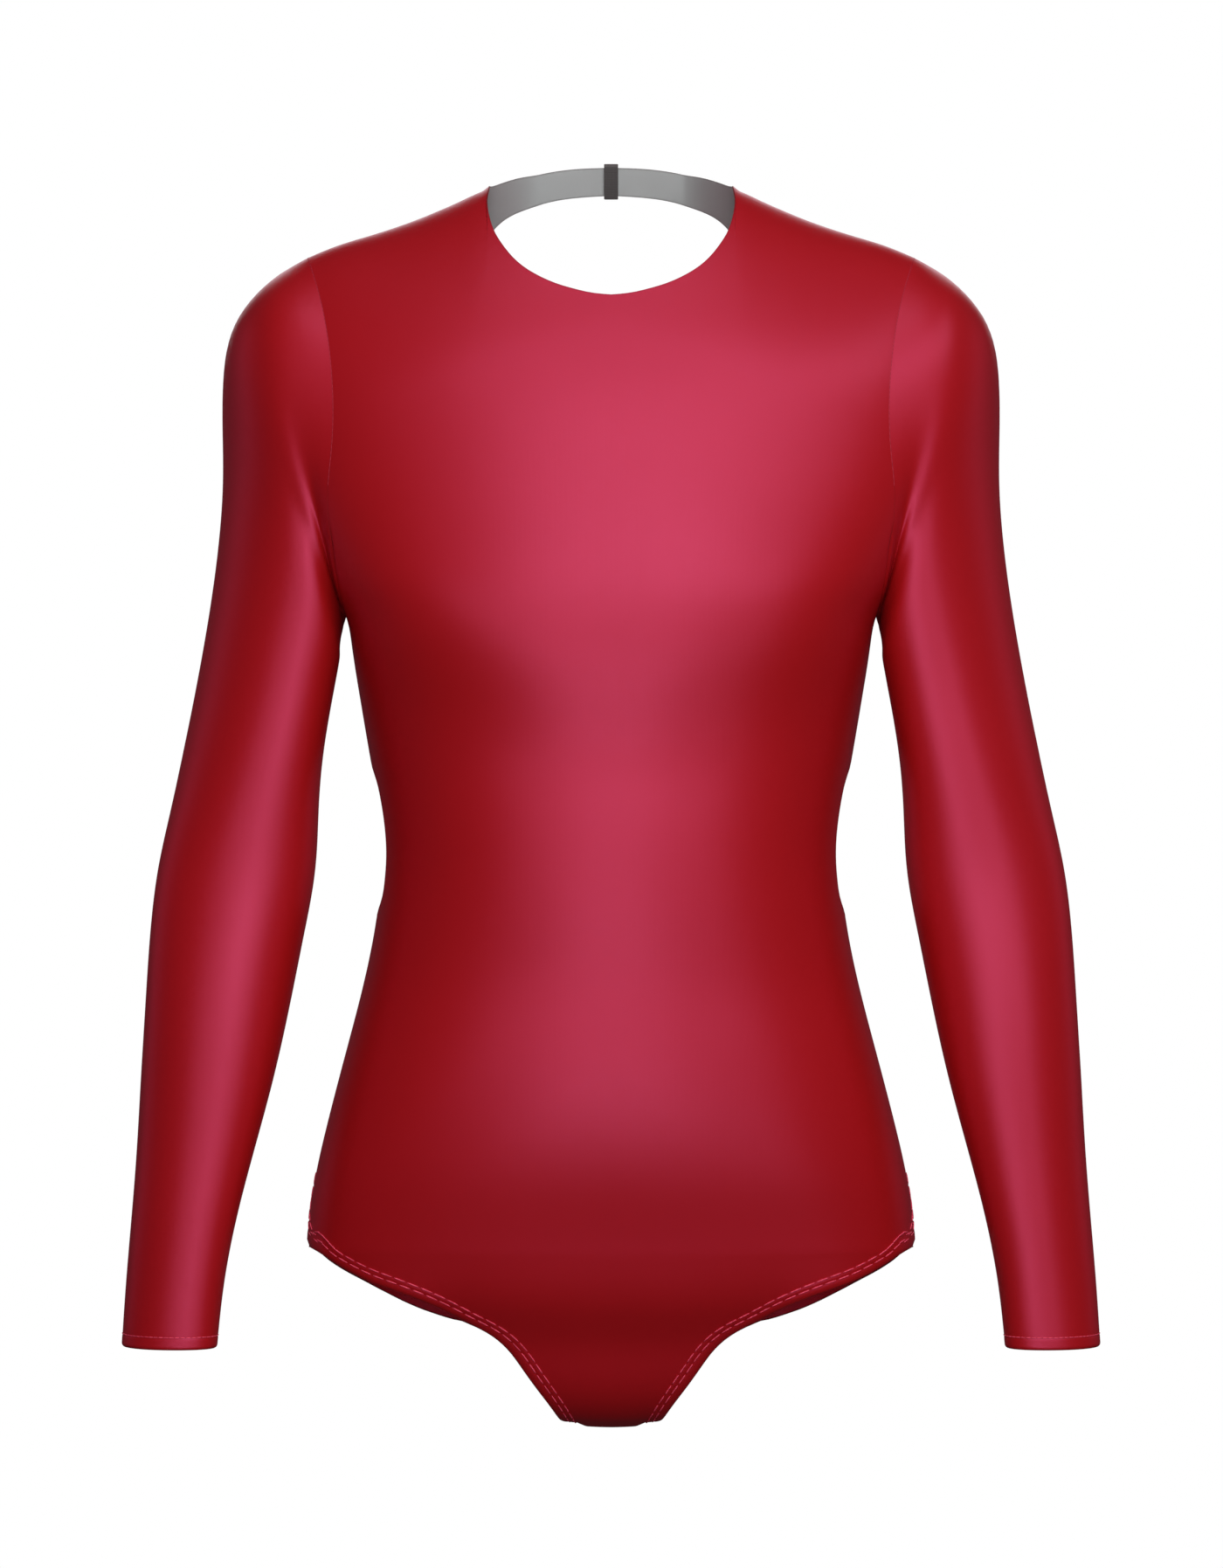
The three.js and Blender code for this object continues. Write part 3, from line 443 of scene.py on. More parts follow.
def crotchShift(points):
    out = np.abs(points[..., 0])
    near = smoothStep(1 - np.abs(points[..., 1] - seamPull["seam"]) / seamPull["reach"])
    near *= points[..., 2] < seamPull["below"]
    rise = seamPull["notchRise"] * np.exp(-((out - seamPull["notch"]) / seamPull["notchWidth"]) ** 2)
    fall = seamPull["fall"] * (1 - smoothStep((out - seamPull["flat"]) / (seamPull["flatEnd"] - seamPull["flat"])))
    return np.stack([0 * out, 0 * out, (rise - fall) * near], -1)


def flipX(v):
    return v * np.array([-1.0, 1.0, 1.0])


def foldX(v):
    return np.concatenate([np.abs(v[..., :1]), v[..., 1:]], -1)


def otherSide(grid, normals, distance):
    # the mirrored piece's grid, with its columns turned round so that its faces still look outwards
    return flipX(grid)[:, ::-1], flipX(normals)[:, ::-1], distance[:, ::-1]


def wholeRows(side, across, level):
    # both halves of each row, from its right half
    points, normals = bodyPoint(side, across, level), bodyNormal(side, across, level)
    join = lambda v: np.concatenate([flipX(v[:, :0:-1]), v], axis=1)
    return join(points), join(normals)


def spread(count, ease=1.0):
    # shares from 0 to 1, closer together towards 1 when ease is over 1
    t = np.linspace(0, 1, count + 1)
    return 1 - (1 - t) ** ease


legSpread = 0.76  # under 1: the rows stand closer together towards the hip


def legRows(side, leg, columns, rows):
    i = np.arange(rows) / rows
    endAcross, endLevel = leg(1 - i)
    middle = levels["crotch"] + (levels["hip"] - levels["crotch"]) * i ** legSpread
    share = columns[None, :]
    level = middle[:, None] + (endLevel - middle)[:, None] * smoothStep(share)
    return endAcross[:, None] * share, level


# where the rows begin to turn under at the hip: softened at the middle, and held straight at the sides
hipEase = {"soften": 20.0, "sideFrom": 0.45, "sideTo": 0.8, "farFrom": 55.0, "farTo": 90.0, "leastRadius": 12}


def hipShift(side, points):
    x = np.abs(points[..., 0])
    below = levels["hip"] - points[..., 2]
    halfWidth, reach, _, power = sectionAt(side, levels["hip"])
    turn = np.arcsin(np.minimum(1, x / halfWidth) ** (1 / power))
    radius = np.maximum(reach * np.cos(turn) ** power, hipEase["leastRadius"])
    under = np.clip(below, 0, radius)
    bend = radius - np.sqrt(radius ** 2 - under ** 2)
    rounded = ((below + np.sqrt(below ** 2 + hipEase["soften"] ** 2)) / 2) ** 2 / (2 * radius)
    softer = rounded - np.maximum(below, 0) ** 2 / (2 * radius)
    straight = smoothStep((x / halfWidth - hipEase["sideFrom"]) / (hipEase["sideTo"] - hipEase["sideFrom"]))
    far = smoothStep((np.abs(below) - hipEase["farFrom"]) / (hipEase["farTo"] - hipEase["farFrom"]))
    move = side * (bend * straight - softer * (1 - straight)) * (1 - far)
    return np.stack([0 * move, move, 0 * move], -1)


def filledPatch(bottom, top, left, right, columns, rows):
    # a patch between four edges, each a function of its share
    u, v = np.meshgrid(columns, rows)
    result = []
    for k in (0, 1):
        corner = lambda edgeLine, share: edgeLine(np.array(share, float))[k]
        result.append(
            (1 - v) * bottom(u)[k] + v * top(u)[k] + (1 - u) * left(v)[k] + u * right(v)[k]
            - (1 - u) * (1 - v) * corner(bottom, 0) - u * (1 - v) * corner(bottom, 1)
            - (1 - u) * v * corner(top, 0) - u * v * corner(top, 1)
        )
    return result


def straightLine(start, end):
    # an edge that runs straight from one across and level to another
    return lambda share: (start[0] + (end[0] - start[0]) * share, start[1] + (end[1] - start[1]) * share)


frontShape = {
    "halfColumns": 64, "neckColumns": 32, "ease": 1.35, "legRows": 60, "bodyStep": 3.4, "yokeRows": 60,
    "yokeEase": 1.25,
}


def frontPanelMesh():
    shape = frontShape
    n = shape["halfColumns"]
    columns = spread(n, shape["ease"])
    across, level = legRows(-1, edge["frontLeg"], columns, shape["legRows"])
    count = int((levels["armhole"] - levels["hip"]) / shape["bodyStep"])
    bodyLevels = np.linspace(levels["hip"], levels["armhole"], count + 1)[:-1]
    inCut = (bodyLevels > levels["cutBottom"]) & (bodyLevels < levels["cutTop"])
    widest = np.where(inCut, np.minimum(cutAcross(bodyLevels), 1), 1)
    bodyAcross = widest[:, None] * columns[None, :]
    neckShare = columns[shape["neckColumns"]]

    def top(share):
        neck = edge["frontNeck"](share / neckShare)
        shoulder = edge["frontShoulder"]((share - neckShare) / (1 - neckShare))
        return tuple(np.where(share <= neckShare, a, b) for a, b in zip(neck, shoulder))

    def armhole(share):
        return edge["frontArmhole"](1 - share)

    bottom = straightLine((0, levels["armhole"]), (1, levels["armhole"]))
    middle = straightLine((0, levels["armhole"]), (0, frontNeck[0][1]))
    yoke = filledPatch(bottom, top, middle, armhole, columns, spread(shape["yokeRows"], shape["yokeEase"]))
    across = np.concatenate([across, bodyAcross, yoke[0]])
    level = np.concatenate([level, np.repeat(bodyLevels[:, None], n + 1, 1), yoke[1]])
    grid, normals = wholeRows(-1, across, level)
    folded = foldX(grid)
    toLeg = distanceTo(folded, "frontLeg")
    toNeck = distanceTo(folded, "frontNeck")
    grid += hipShift(-1, grid) + creaseShift(grid) + crotchShift(grid)
    mesh = clothPiece("front_panel_cloth", grid, normals, toLeg, legHem)
    addMeasures(mesh, *gridMeasures(grid), np.minimum(toLeg, toNeck))
    return mesh


seatShape = {"halfColumns": 56, "ease": 1.35, "legRows": 60, "bodyRows": 44}


def seatPanelMesh():
    shape = seatShape
    columns = spread(shape["halfColumns"], shape["ease"])
    across, level = legRows(1, edge["backLeg"], columns, shape["legRows"])

    def top(share):
        return edge["openingLower"](1 - share)

    topLevel = top(np.array([0.0, 1.0]))[1]
    bottom = straightLine((0, levels["hip"]), (1, levels["hip"]))
    middle = straightLine((0, levels["hip"]), (0, topLevel[0]))
    sideSeam = straightLine((1, levels["hip"]), (1, topLevel[1]))
    upper = filledPatch(bottom, top, middle, sideSeam, columns, np.linspace(0, 1, shape["bodyRows"] + 1))
    grid, normals = wholeRows(1, np.concatenate([across, upper[0]]), np.concatenate([level, upper[1]]))
    grid += hipShift(1, grid) + crotchShift(grid)
    grid, normals = grid[:, ::-1], normals[:, ::-1]
    folded = foldX(grid)
    toLeg = distanceTo(folded, "backLeg")
    toTop = distanceTo(folded, "openingLower")
    mesh = clothPiece("seat_panel_cloth", grid, normals, toLeg, legHem)
    addMeasures(mesh, *gridMeasures(grid), np.minimum(toLeg, toTop))
    return mesh


upperBackShape = {
    "columns": 22, "strapRows": 44, "shoulderRows": 36, "armRows": 60, "sideRows": 24,
    "innerShares": (0, 0.165, 0.32, 0.77, 1),
}


def upperBackGrid():
    shape = upperBackShape
    sideSeam = straightLine((1, levels["armhole"]), (1, levels["cutTop"] + 1))
    outer = [
        (edge["backNeck"], shape["strapRows"]), (edge["backShoulder"], shape["shoulderRows"]),
        (edge["backArmhole"], shape["armRows"]), (sideSeam, shape["sideRows"]),
    ]
    columns = np.linspace(0, 1, shape["columns"] + 1)[None, :]
    across, level = [], []
    for part, (line, rows) in enumerate(outer):
        share = np.linspace(0, 1, rows + 1)[0 if part == 0 else 1:]
        start, end = shape["innerShares"][part:part + 2]
        inside = edge["openingUpper"](start + (end - start) * share)
        outside = line(share)
        across.append(inside[0][:, None] * (1 - columns) + outside[0][:, None] * columns)
        level.append(inside[1][:, None] * (1 - columns) + outside[1][:, None] * columns)
    across, level = np.concatenate(across), np.concatenate(level)
    grid, normals = bodyPoint(1, across, level), bodyNormal(1, across, level)
    grid[0, :, 0] = seams["gap"] / 2
    return grid, normals


def upperBackMesh(name, mirror):
    grid, normals = upperBackGrid()
    toEdge = np.minimum(distanceTo(grid, "openingUpper"), distanceTo(grid, "backNeck"))
    grid = grid + creaseShift(grid)
    if mirror:
        grid, normals, toEdge = otherSide(grid, normals, toEdge)
    mesh = clothPiece(name, grid, normals, toEdge, plainEdge)
    addMeasures(mesh, *gridMeasures(grid), toEdge)
    return mesh


# sleeve rings: outer x and z, inner x and z, centre, reach to the front and to the back, and the front's lean inwards
sleeveRings = [
    (181.5, -32, 143.7, -217, 6, 60, 62, 0.0),
    (201.4, -53, 144, -220.5, 6, 57.5, 57, 0.1),
    (209.8, -86, 144.7, -226, 4, 53, 52, 0.2),
    (209.9, -140, 145.5, -235, 1, 48.5, 47, 0.28),
    (223.4, -250, 147.9, -250, -1, 43.5, 43.5, 0.3),
    (229.6, -282, 153.5, -282, -2, 42, 42, 0.27),
    (236.6, -316, 156.8, -316, -3, 40.5, 40.5, 0.2),
    (243.4, -349, 158.6, -349, -5, 39, 39.5, 0.12),
    (247.4, -385, 164.6, -385, -9, 38.5, 39, 0.07),
    (249.6, -423, 172, -423, -14, 37.5, 37.5, 0.07),
    (251.6, -460, 180, -460, -19, 35, 35, 0.12),
    (253.4, -497, 189.6, -497, -24, 31.5, 31.5, 0.17),
    (255.8, -533, 198.8, -533, -29, 28, 28, 0.22),
    (258.6, -570, 205.8, -570, -33, 25, 25, 0.25),
    (260.6, -603.5, 209.4, -603.5, -36, 23.5, 23.5, 0.25),
]
sleeveShape = {
    "around": 112, "capRows": 10, "capLength": 9, "along": 170, "hemRows": 18, "hemLength": 8, "hemEase": 1.5,
    "square": 2.12,
}


def evenly(points, count):
    lengths = np.concatenate([[0], np.cumsum(np.linalg.norm(np.diff(points, axis=0), axis=1))])
    goal = np.linspace(0, lengths[-1], count + 1)
    return np.stack([np.interp(goal, lengths, points[:, k]) for k in range(3)], 1)


def joinHalves(front, back):
    return np.concatenate([back[:-1], front[::-1][:-1]])


def ringPoints(row, around):
    outerX, outerZ, innerX, innerZ, centre, front, back, lean = row
    power = 2 / sleeveShape["square"]
    halfX = (outerX - innerX) / 2
    halfX = math.sqrt(halfX ** 2 - (lean * (front + back) / 2) ** 2)
    turn = np.linspace(0, math.pi, 500)
    run = np.sign(np.cos(turn)) * np.abs(np.cos(turn)) ** power
    halves = []
    for side, reach in ((-1, front), (1, back)):
        x = (outerX + innerX) / 2 + halfX * run
        z = (outerZ + innerZ) / 2 + (outerZ - innerZ) / 2 * run
        y = centre + side * reach * np.abs(np.sin(turn)) ** power
        x = x + lean * (y - centre)
        halves.append(evenly(np.stack([x, y, z], 1), around // 2))
    return joinHalves(*halves)


def armholeRing(around):
    share = np.linspace(0, 1, around // 2 + 1)
    points, normals = [], []
    for side, line in ((-1, edge["frontArmhole"]), (1, edge["backArmhole"])):
        across, level = line(share)
        points.append(bodyPoint(side, across, level) + np.array([seams["sleeveGap"], 0, 0]))
        normals.append(bodyNormal(side, across, level))
    return joinHalves(*points), joinHalves(*normals)


def sleeveGrid():
    shape = sleeveShape
    armhole, armholeNormals = armholeRing(shape["around"])
    rings = np.stack([armhole] + [ringPoints(row, shape["around"]) for row in sleeveRings])
    moved = np.linalg.norm(np.diff(rings, axis=0), axis=2).mean(axis=1)
    knots = np.concatenate([[0], np.cumsum(moved)])
    capLength, hemStart = shape["capLength"], knots[-1] - shape["hemLength"]
    stations = np.concatenate([
        np.linspace(0, capLength, shape["capRows"]), np.linspace(capLength, hemStart, shape["along"])[1:],
        hemStart + shape["hemLength"] * spread(shape["hemRows"], shape["hemEase"])[1:],
    ])
    grid = np.zeros((len(stations), shape["around"], 3))
    for c in range(shape["around"]):
        for k in range(3):
            grid[:, c, k] = smoothCurve(knots, rings[:, c, k])(stations)
    along = np.gradient(grid, axis=0)
    over = np.roll(grid, -1, axis=1) - np.roll(grid, 1, axis=1)
    normals = -unit(np.cross(over, along))
    leaving = np.sum((grid[1] - grid[0]) * armholeNormals, axis=1) < 0
    normals[0][leaving] = armholeNormals[leaving]
    grid = grid + creaseShift(grid)
    return grid[::-1], normals[::-1]


def sleeveMesh(name, mirror):
    grid, normals = sleeveGrid()
    toCuff = grid[..., 2] - sleeveRings[-1][1]
    if mirror:
        grid, normals, toCuff = otherSide(grid, normals, toCuff)
    mesh = clothPiece(name, grid, normals, toCuff, cuffHem, wraps=True)
    addMeasures(mesh, *gridMeasures(grid), toCuff)
    return mesh


class Wire:
    # a value in a material, with the usual arithmetic
    def __init__(self, tree, socket):
        self.tree, self.socket = tree, socket

    def math(self, operation, *others):
        return make(self.tree, "ShaderNodeMath", dict(enumerate((self, *others))), operation=operation)["Value"]

    def __rsub__(self, other):
        return make(self.tree, "ShaderNodeMath", {0: other, 1: self}, operation="SUBTRACT")["Value"]

    def __add__(self, other):
        return self.math("ADD", other)

    def __mul__(self, other):
        return self.math("MULTIPLY", other)

    def __truediv__(self, other):
        return self.math("DIVIDE", other)

    def __pow__(self, other):
        return self.math("POWER", other)

    def sine(self):
        return self.math("SINE")

    def held(self, low, high):
        return self.math("MAXIMUM", low).math("MINIMUM", high)


def make(tree, kind, inputs=None, **settings):
    node = tree.nodes.new(kind)
    for name, value in settings.items():
        setattr(node, name, value)
    for name, value in (inputs or {}).items():
        if isinstance(value, Wire):
            tree.links.new(value.socket, node.inputs[name])
        else:
            node.inputs[name].default_value = value
    return {output.name: Wire(tree, output) for output in node.outputs}


def mixColour(tree, factor, first, second, blend="MIX"):
    node = tree.nodes.new("ShaderNodeMix")
    node.data_type, node.blend_type = "RGBA", blend
    ports = {socket.identifier: socket for socket in node.inputs}
    for port, value in (("Factor_Float", factor), ("A_Color", first), ("B_Color", second)):
        if isinstance(value, Wire):
            tree.links.new(value.socket, ports[port])
        else:
            ports[port].default_value = value
    return Wire(tree, next(o for o in node.outputs if o.identifier == "Result_Color"))


def linear(hexColour):
    parts = [int(hexColour[i:i + 2], 16) / 255 for i in (1, 3, 5)]
    return tuple(c / 12.92 if c <= 0.04045 else ((c + 0.055) / 1.055) ** 2.4 for c in parts) + (1.0,)


def emptyTree(owner):
    owner.use_nodes = True
    owner.node_tree.nodes.clear()
    return owner.node_tree


def newMaterial(name, shader, paint):
    # paint gives the shader's varying inputs
    material = bpy.data.materials.new(name)
    tree = emptyTree(material)
    surface = make(tree, "ShaderNodeBsdfPrincipled", {**shader, **paint(tree)})["BSDF"]
    make(tree, "ShaderNodeOutputMaterial", {"Surface": surface})
    return material


def objectPlace(tree):
    return make(tree, "ShaderNodeTexCoord")["Object"]


def noise(tree, scale):
    return make(tree, "ShaderNodeTexNoise", {"Vector": objectPlace(tree), "Scale": scale})["Fac"]


def bump(tree, height, strength, distance):
    return make(tree, "ShaderNodeBump", {"Strength": strength, "Distance": distance, "Height": height})["Normal"]


def attribute(tree, name):
    return make(tree, "ShaderNodeAttribute", attribute_name=name)["Fac"]


def knitHeight(tree, finish):
    # fine warp-knit ribs with small loops along them, measured along the cloth itself
    ribs = (attribute(tree, "clothWidth") * (2 * math.pi / finish["ribPitch"])).sine()
    loops = (attribute(tree, "clothLength") * (2 * math.pi / finish["loopPitch"])).sine()
    return ribs * 0.6 + loops * ribs * 0.4


# the edge colour, with its width in mm and its share, is painted shade: a darker band along each free edge
satin = {
    "colour": (0.40, 0.0066, 0.0064, 1), "second": (0.365, 0.0056, 0.0052, 1), "edge": (0.15, 0.002, 0.002, 1),
    "edgeShadeWidth": 0.9, "edgeShadeShare": 0.45, "ribPitch": 0.00055, "loopPitch": 0.0007, "cloud": 9.0, "grain": 260.0,
    "rough": (0.36, 0.06), "bump": (0.12, 0.0001),
    "shader": {"IOR": 1.62, "Specular IOR Level": 1.0, "Specular Tint": (1.0, 0.19, 0.45, 1)},
}
# here too the edge colour, width and share paint shade along each free edge
greyKnit = {
    "colour": linear("#C9D0CF"), "second": linear("#BBC2C1"), "edge": linear("#7C7B7B"),
    "edgeShadeWidth": 1.1, "edgeShadeShare": 0.55, "ribPitch": 0.0006, "loopPitch": 0.0008, "cloud": 14.0,
    "rough": (0.56, 0.08), "bump": (0.2, 0.00012),
    "shader": {"Roughness": 0.62, "IOR": 1.45, "Specular IOR Level": 0.35, "Sheen Weight": 0.2,
               "Sheen Roughness": 0.5, "Sheen Tint": (0.8, 0.8, 0.82, 1)},
}


def knitTonesAndEdgeShade(tree, finish, cloudy):
    # two close colours in soft clouds, with painted shade: a darker band along a free edge
    shade = mixColour(tree, cloudy, finish["colour"], finish["second"])
    paintedEdgeShade = (1 - attribute(tree, "edgeDistance") / finish["edgeShadeWidth"]).held(0, 1) * finish["edgeShadeShare"]
    return mixColour(tree, paintedEdgeShade, shade, finish["edge"])


def satinPaint(tree):
    fine = noise(tree, satin["grain"])
    return {
        "Base Color": knitTonesAndEdgeShade(tree, satin, noise(tree, satin["cloud"])),
        "Roughness": fine * satin["rough"][1] + satin["rough"][0],
        "Normal": bump(tree, knitHeight(tree, satin) + fine * 0.8, *satin["bump"]),
    }


def greyKnitPaint(tree):
    cloudy = noise(tree, greyKnit["cloud"])
    return {
        "Base Color": knitTonesAndEdgeShade(tree, greyKnit, cloudy),
        "Roughness": cloudy * greyKnit["rough"][1] + greyKnit["rough"][0],
        "Normal": bump(tree, knitHeight(tree, greyKnit), *greyKnit["bump"]),
    }


cutEdge = {"grain": 700.0, "dark": 0.75, "roughSpread": 0.1, "bump": (0.3, 0.0001)}


def rimMaterial(name, colour, roughness):
    def paint(tree):
        grain = noise(tree, cutEdge["grain"])
        dark = tuple(c * cutEdge["dark"] for c in linear(colour)[:3]) + (1.0,)
        return {
            "Base Color": mixColour(tree, grain, linear(colour), dark),
            "Roughness": grain * cutEdge["roughSpread"] + roughness,
            "Normal": bump(tree, grain, *cutEdge["bump"]),
        }

    return newMaterial(name, {"Specular IOR Level": 0.35}, paint)


# the armhole colours are pinker than the cloth: a painted highlight along the armhole seams
thread = {
    "hem": ("#F55A78", "#DC4763"), "armhole": ("#AE3046", "#8E1E30"), "plyPitch": 0.0009, "rough": (0.5, 0.1),
    "bump": (0.3, 0.0001),
}


def threadMaterial(name, colour, dark):
    def paint(tree):
        twist = make(tree, "ShaderNodeTexWave", {
            "Vector": objectPlace(tree), "Scale": 1 / thread["plyPitch"] / 6, "Distortion": 0.5,
        }, bands_direction="DIAGONAL")["Fac"]
        return {
            "Base Color": mixColour(tree, twist, linear(colour), linear(dark)),
            "Roughness": twist * thread["rough"][1] + thread["rough"][0],
            "Normal": bump(tree, twist, *thread["bump"]),
        }

    return newMaterial(name, {"Specular IOR Level": 0.25}, paint)


tapeWeave = {
    "ribPitch": 0.0007, "warpPitch": 0.0006, "dark": "#4A4949", "light": "#5F5D5C", "rough": (0.6, 0.08),
    "bump": (0.4, 0.0002),
}


def tapePaint(tree):
    axes = make(tree, "ShaderNodeSeparateXYZ", {"Vector": objectPlace(tree)})
    ribs = (axes["Z"] * (2 * math.pi / tapeWeave["ribPitch"])).sine() * 0.5 + 0.5
    warp = (axes["X"] * (2 * math.pi / tapeWeave["warpPitch"])).sine() * 0.5 + 0.5
    weave = ribs * 0.7 + warp * 0.3
    return {
        "Base Color": mixColour(tree, weave, linear(tapeWeave["dark"]), linear(tapeWeave["light"])),
        "Roughness": weave * tapeWeave["rough"][1] + tapeWeave["rough"][0],
        "Normal": bump(tree, weave, *tapeWeave["bump"]),
    }


material = {
    "satin": newMaterial("red_satin", satin["shader"], satinPaint),
    "inside": newMaterial("grey_inside", greyKnit["shader"], greyKnitPaint),
    "rim": rimMaterial("red_cut_edge", "#7A0D13", 0.55),
    "greyRim": rimMaterial("grey_cut_edge", "#6C6B6B", 0.6),
    "thread": threadMaterial("pink_thread", *thread["hem"]),
    "seamHighlightThread": threadMaterial("red_seam_highlight_thread", *thread["armhole"]),
    "tape": newMaterial("woven_tape", {"Specular IOR Level": 0.3, "Sheen Weight": 0.15}, tapePaint),
}
print("materials ready")

# each cloth piece: its mesh, the CAD node it stands for, the flat cut, and how much of that rectangle it fills
redLining = [material["satin"], material["inside"], material["rim"]]
strapLining = redLining[:2] + [material["greyRim"]]
clothPieces = [
    ("front_panel", frontPanelMesh(), redLining, (0.365, 0.66), 0.184),
    ("seat_panel", seatPanelMesh(), redLining, (0.40, 0.28), 0.069),
    ("upper_back_left", upperBackMesh("upper_back_left_cloth", False), strapLining, (0.15, 0.36), 0.0178),
    ("upper_back_right", upperBackMesh("upper_back_right_cloth", True), strapLining, (0.15, 0.36), 0.0178),
    ("sleeve_left", sleeveMesh("sleeve_left_cloth", False), redLining, (0.30, 0.56), 0.103),
    ("sleeve_right", sleeveMesh("sleeve_right_cloth", True), redLining, (0.30, 0.56), 0.103),
]
for node, mesh, finishes, flat, area in clothPieces:
    cloth = finishPiece(node + "_cloth", mesh, finishes, nodes=(node,))
    print(node, "faces", len(mesh.polygons))


walk = {"inwardShare": 0.97, "up": 1.0, "steps": 6}


def surfaceWalk(line, share, distance, swell):
    # points on the body at a distance in from one of its edges, walked in small steps over the surface
    side = line.side
    across, level = line(share)
    points = bodyPoint(side, across, level)
    along = unit(np.gradient(points, axis=0))
    further = bodyPoint(side, across * walk["inwardShare"], level + walk["up"])
    for _ in range(walk["steps"]):
        over, up = bodySlopes(side, across, level)
        normal = unit(np.cross(over, up)) * -side
        inward = unit(np.cross(normal, along))
        inward *= np.sign(np.sum(inward * (further - points), axis=1, keepdims=True))
        slopes = np.stack([over, up], 1)
        goal = slopes @ (inward * distance / walk["steps"])[..., None]
        move = np.linalg.solve(slopes @ slopes.transpose(0, 2, 1), goal)[..., 0]
        across, level = across + move[:, 0], level + move[:, 1]
    return bodyPoint(side, across, level) + bodyNormal(side, across, level) * swell


def curveFrom(name, points, closed=False):
    data = bpy.data.curves.new(name, "CURVE")
    data.dimensions = "3D"
    spline = data.splines.new("POLY")
    spline.points.add(len(points) - 1)
    flat = np.concatenate([points * mm, np.ones((len(points), 1))], axis=1)
    spline.points.foreach_set("co", flat.ravel())
    spline.use_cyclic_u = closed
    return linked(name, data)


stitchForm = {"sides": 6, "rings": 6, "square": 4.0, "body": 0.55, "tip": 0.45}


def stitchTree():
    # stitches laid end to end along a curve: a small rounded bar for each, sunk a little at its ends
    tree = bpy.data.node_groups.new("stitch_row", "GeometryNodeTree")
    for name, way, kind in (
        ("Geometry", "INPUT", "Geometry"), ("Pitch", "INPUT", "Float"), ("Stitch length", "INPUT", "Float"),
        ("Thread radius", "INPUT", "Float"), ("Material", "INPUT", "Material"), ("Geometry", "OUTPUT", "Geometry"),
    ):
        tree.interface.new_socket(name, in_out=way, socket_type="NodeSocket" + kind)
    given = make(tree, "NodeGroupInput")
    spaced = make(tree, "GeometryNodeResampleCurve", {
        "Curve": given["Geometry"], "Length": given["Pitch"]}, mode="LENGTH")["Curve"]
    tangent = make(tree, "GeometryNodeInputTangent")["Tangent"]
    turn = make(tree, "FunctionNodeAlignRotationToVector", {"Vector": tangent}, axis="Z")["Rotation"]
    bar = make(tree, "GeometryNodeMeshCylinder", {
        "Vertices": stitchForm["sides"], "Side Segments": stitchForm["rings"],
        "Radius": given["Thread radius"], "Depth": given["Stitch length"]})["Mesh"]
    position = make(tree, "GeometryNodeInputPosition")["Position"]
    split = make(tree, "ShaderNodeSeparateXYZ", {"Vector": position})
    run = split["Z"] / given["Stitch length"] * 2.0
    taper = (1 - run ** stitchForm["square"]).held(0.0, 1.0) * stitchForm["body"] + stitchForm["tip"]
    shaped = make(tree, "ShaderNodeCombineXYZ", {
        "X": split["X"] * taper, "Y": split["Y"] * taper, "Z": split["Z"]})
    bar = make(tree, "GeometryNodeSetPosition", {"Geometry": bar, "Position": shaped["Vector"]})["Geometry"]
    placed = make(tree, "GeometryNodeInstanceOnPoints", {"Points": spaced, "Instance": bar, "Rotation": turn})
    solid = make(tree, "GeometryNodeRealizeInstances", {"Geometry": placed["Instances"]})["Geometry"]
    dyed = make(tree, "GeometryNodeSetMaterial", {"Geometry": solid, "Material": given["Material"]})["Geometry"]
    make(tree, "NodeGroupOutput", {"Geometry": dyed})
    return tree


rowTree = stitchTree()


def stitchRow(name, points, look, closed=False):
    curve = curveFrom(name + "_path", points, closed)
    modifier = curve.modifiers.new("stitches", "NODES")
    modifier.node_group = rowTree
    values = {
        "Pitch": look["pitch"] * mm, "Stitch length": look["length"] * mm,
        "Thread radius": look["radius"] * mm, "Material": material["thread"],
    }
    for item in rowTree.interface.items_tree:
        if item.item_type == "SOCKET" and item.in_out == "INPUT" and item.name in values:
            modifier[item.identifier] = values[item.name]
    curve.update_tag()
    ready = curve.evaluated_get(bpy.context.evaluated_depsgraph_get())
    mesh = bpy.data.meshes.new_from_object(ready)
    bpy.data.objects.remove(curve)
    return mesh


def joinMeshes(name, meshes):
    points, faces, start = [], [], 0
    for mesh in meshes:
        co = np.zeros(len(mesh.vertices) * 3)
        mesh.vertices.foreach_get("co", co)
        points.append(co.reshape(-1, 3))
        faces += [[v + start for v in polygon.vertices] for polygon in mesh.polygons]
        start += len(mesh.vertices)
    return meshFrom(name, np.concatenate(points), faces, smooth=True)


legStitch = {"pitch": 7.6, "length": 6.3, "radius": 0.33, "from": 0.008, "to": 0.995, "lift": 0.1}
cuffStitch = {"pitch": 3.0, "length": 2.7, "radius": 0.26, "lift": 0.1}


def threadLift(hem, stitch):
    # the stitches lie on the bottom of the groove that they press
    return hem["raise"] - hem["pressed"] + stitch["lift"]


def legStitches(word, leg):
    rows = []
    share = np.linspace(legStitch["from"], legStitch["to"], 400)
    for distance in legHem["rows"]:
        points = surfaceWalk(edge[leg], share, distance, threadLift(legHem, legStitch))
        points = points + hipShift(edge[leg].side, points) + crotchShift(points)
        for mirror in (False, True):
            rows.append(stitchRow("leg_row", flipX(points) if mirror else points, legStitch))
    mesh = joinMeshes(word + "_leg_stitches", rows)
    return finishPiece(word + "_leg_stitches", mesh, [material["thread"]])


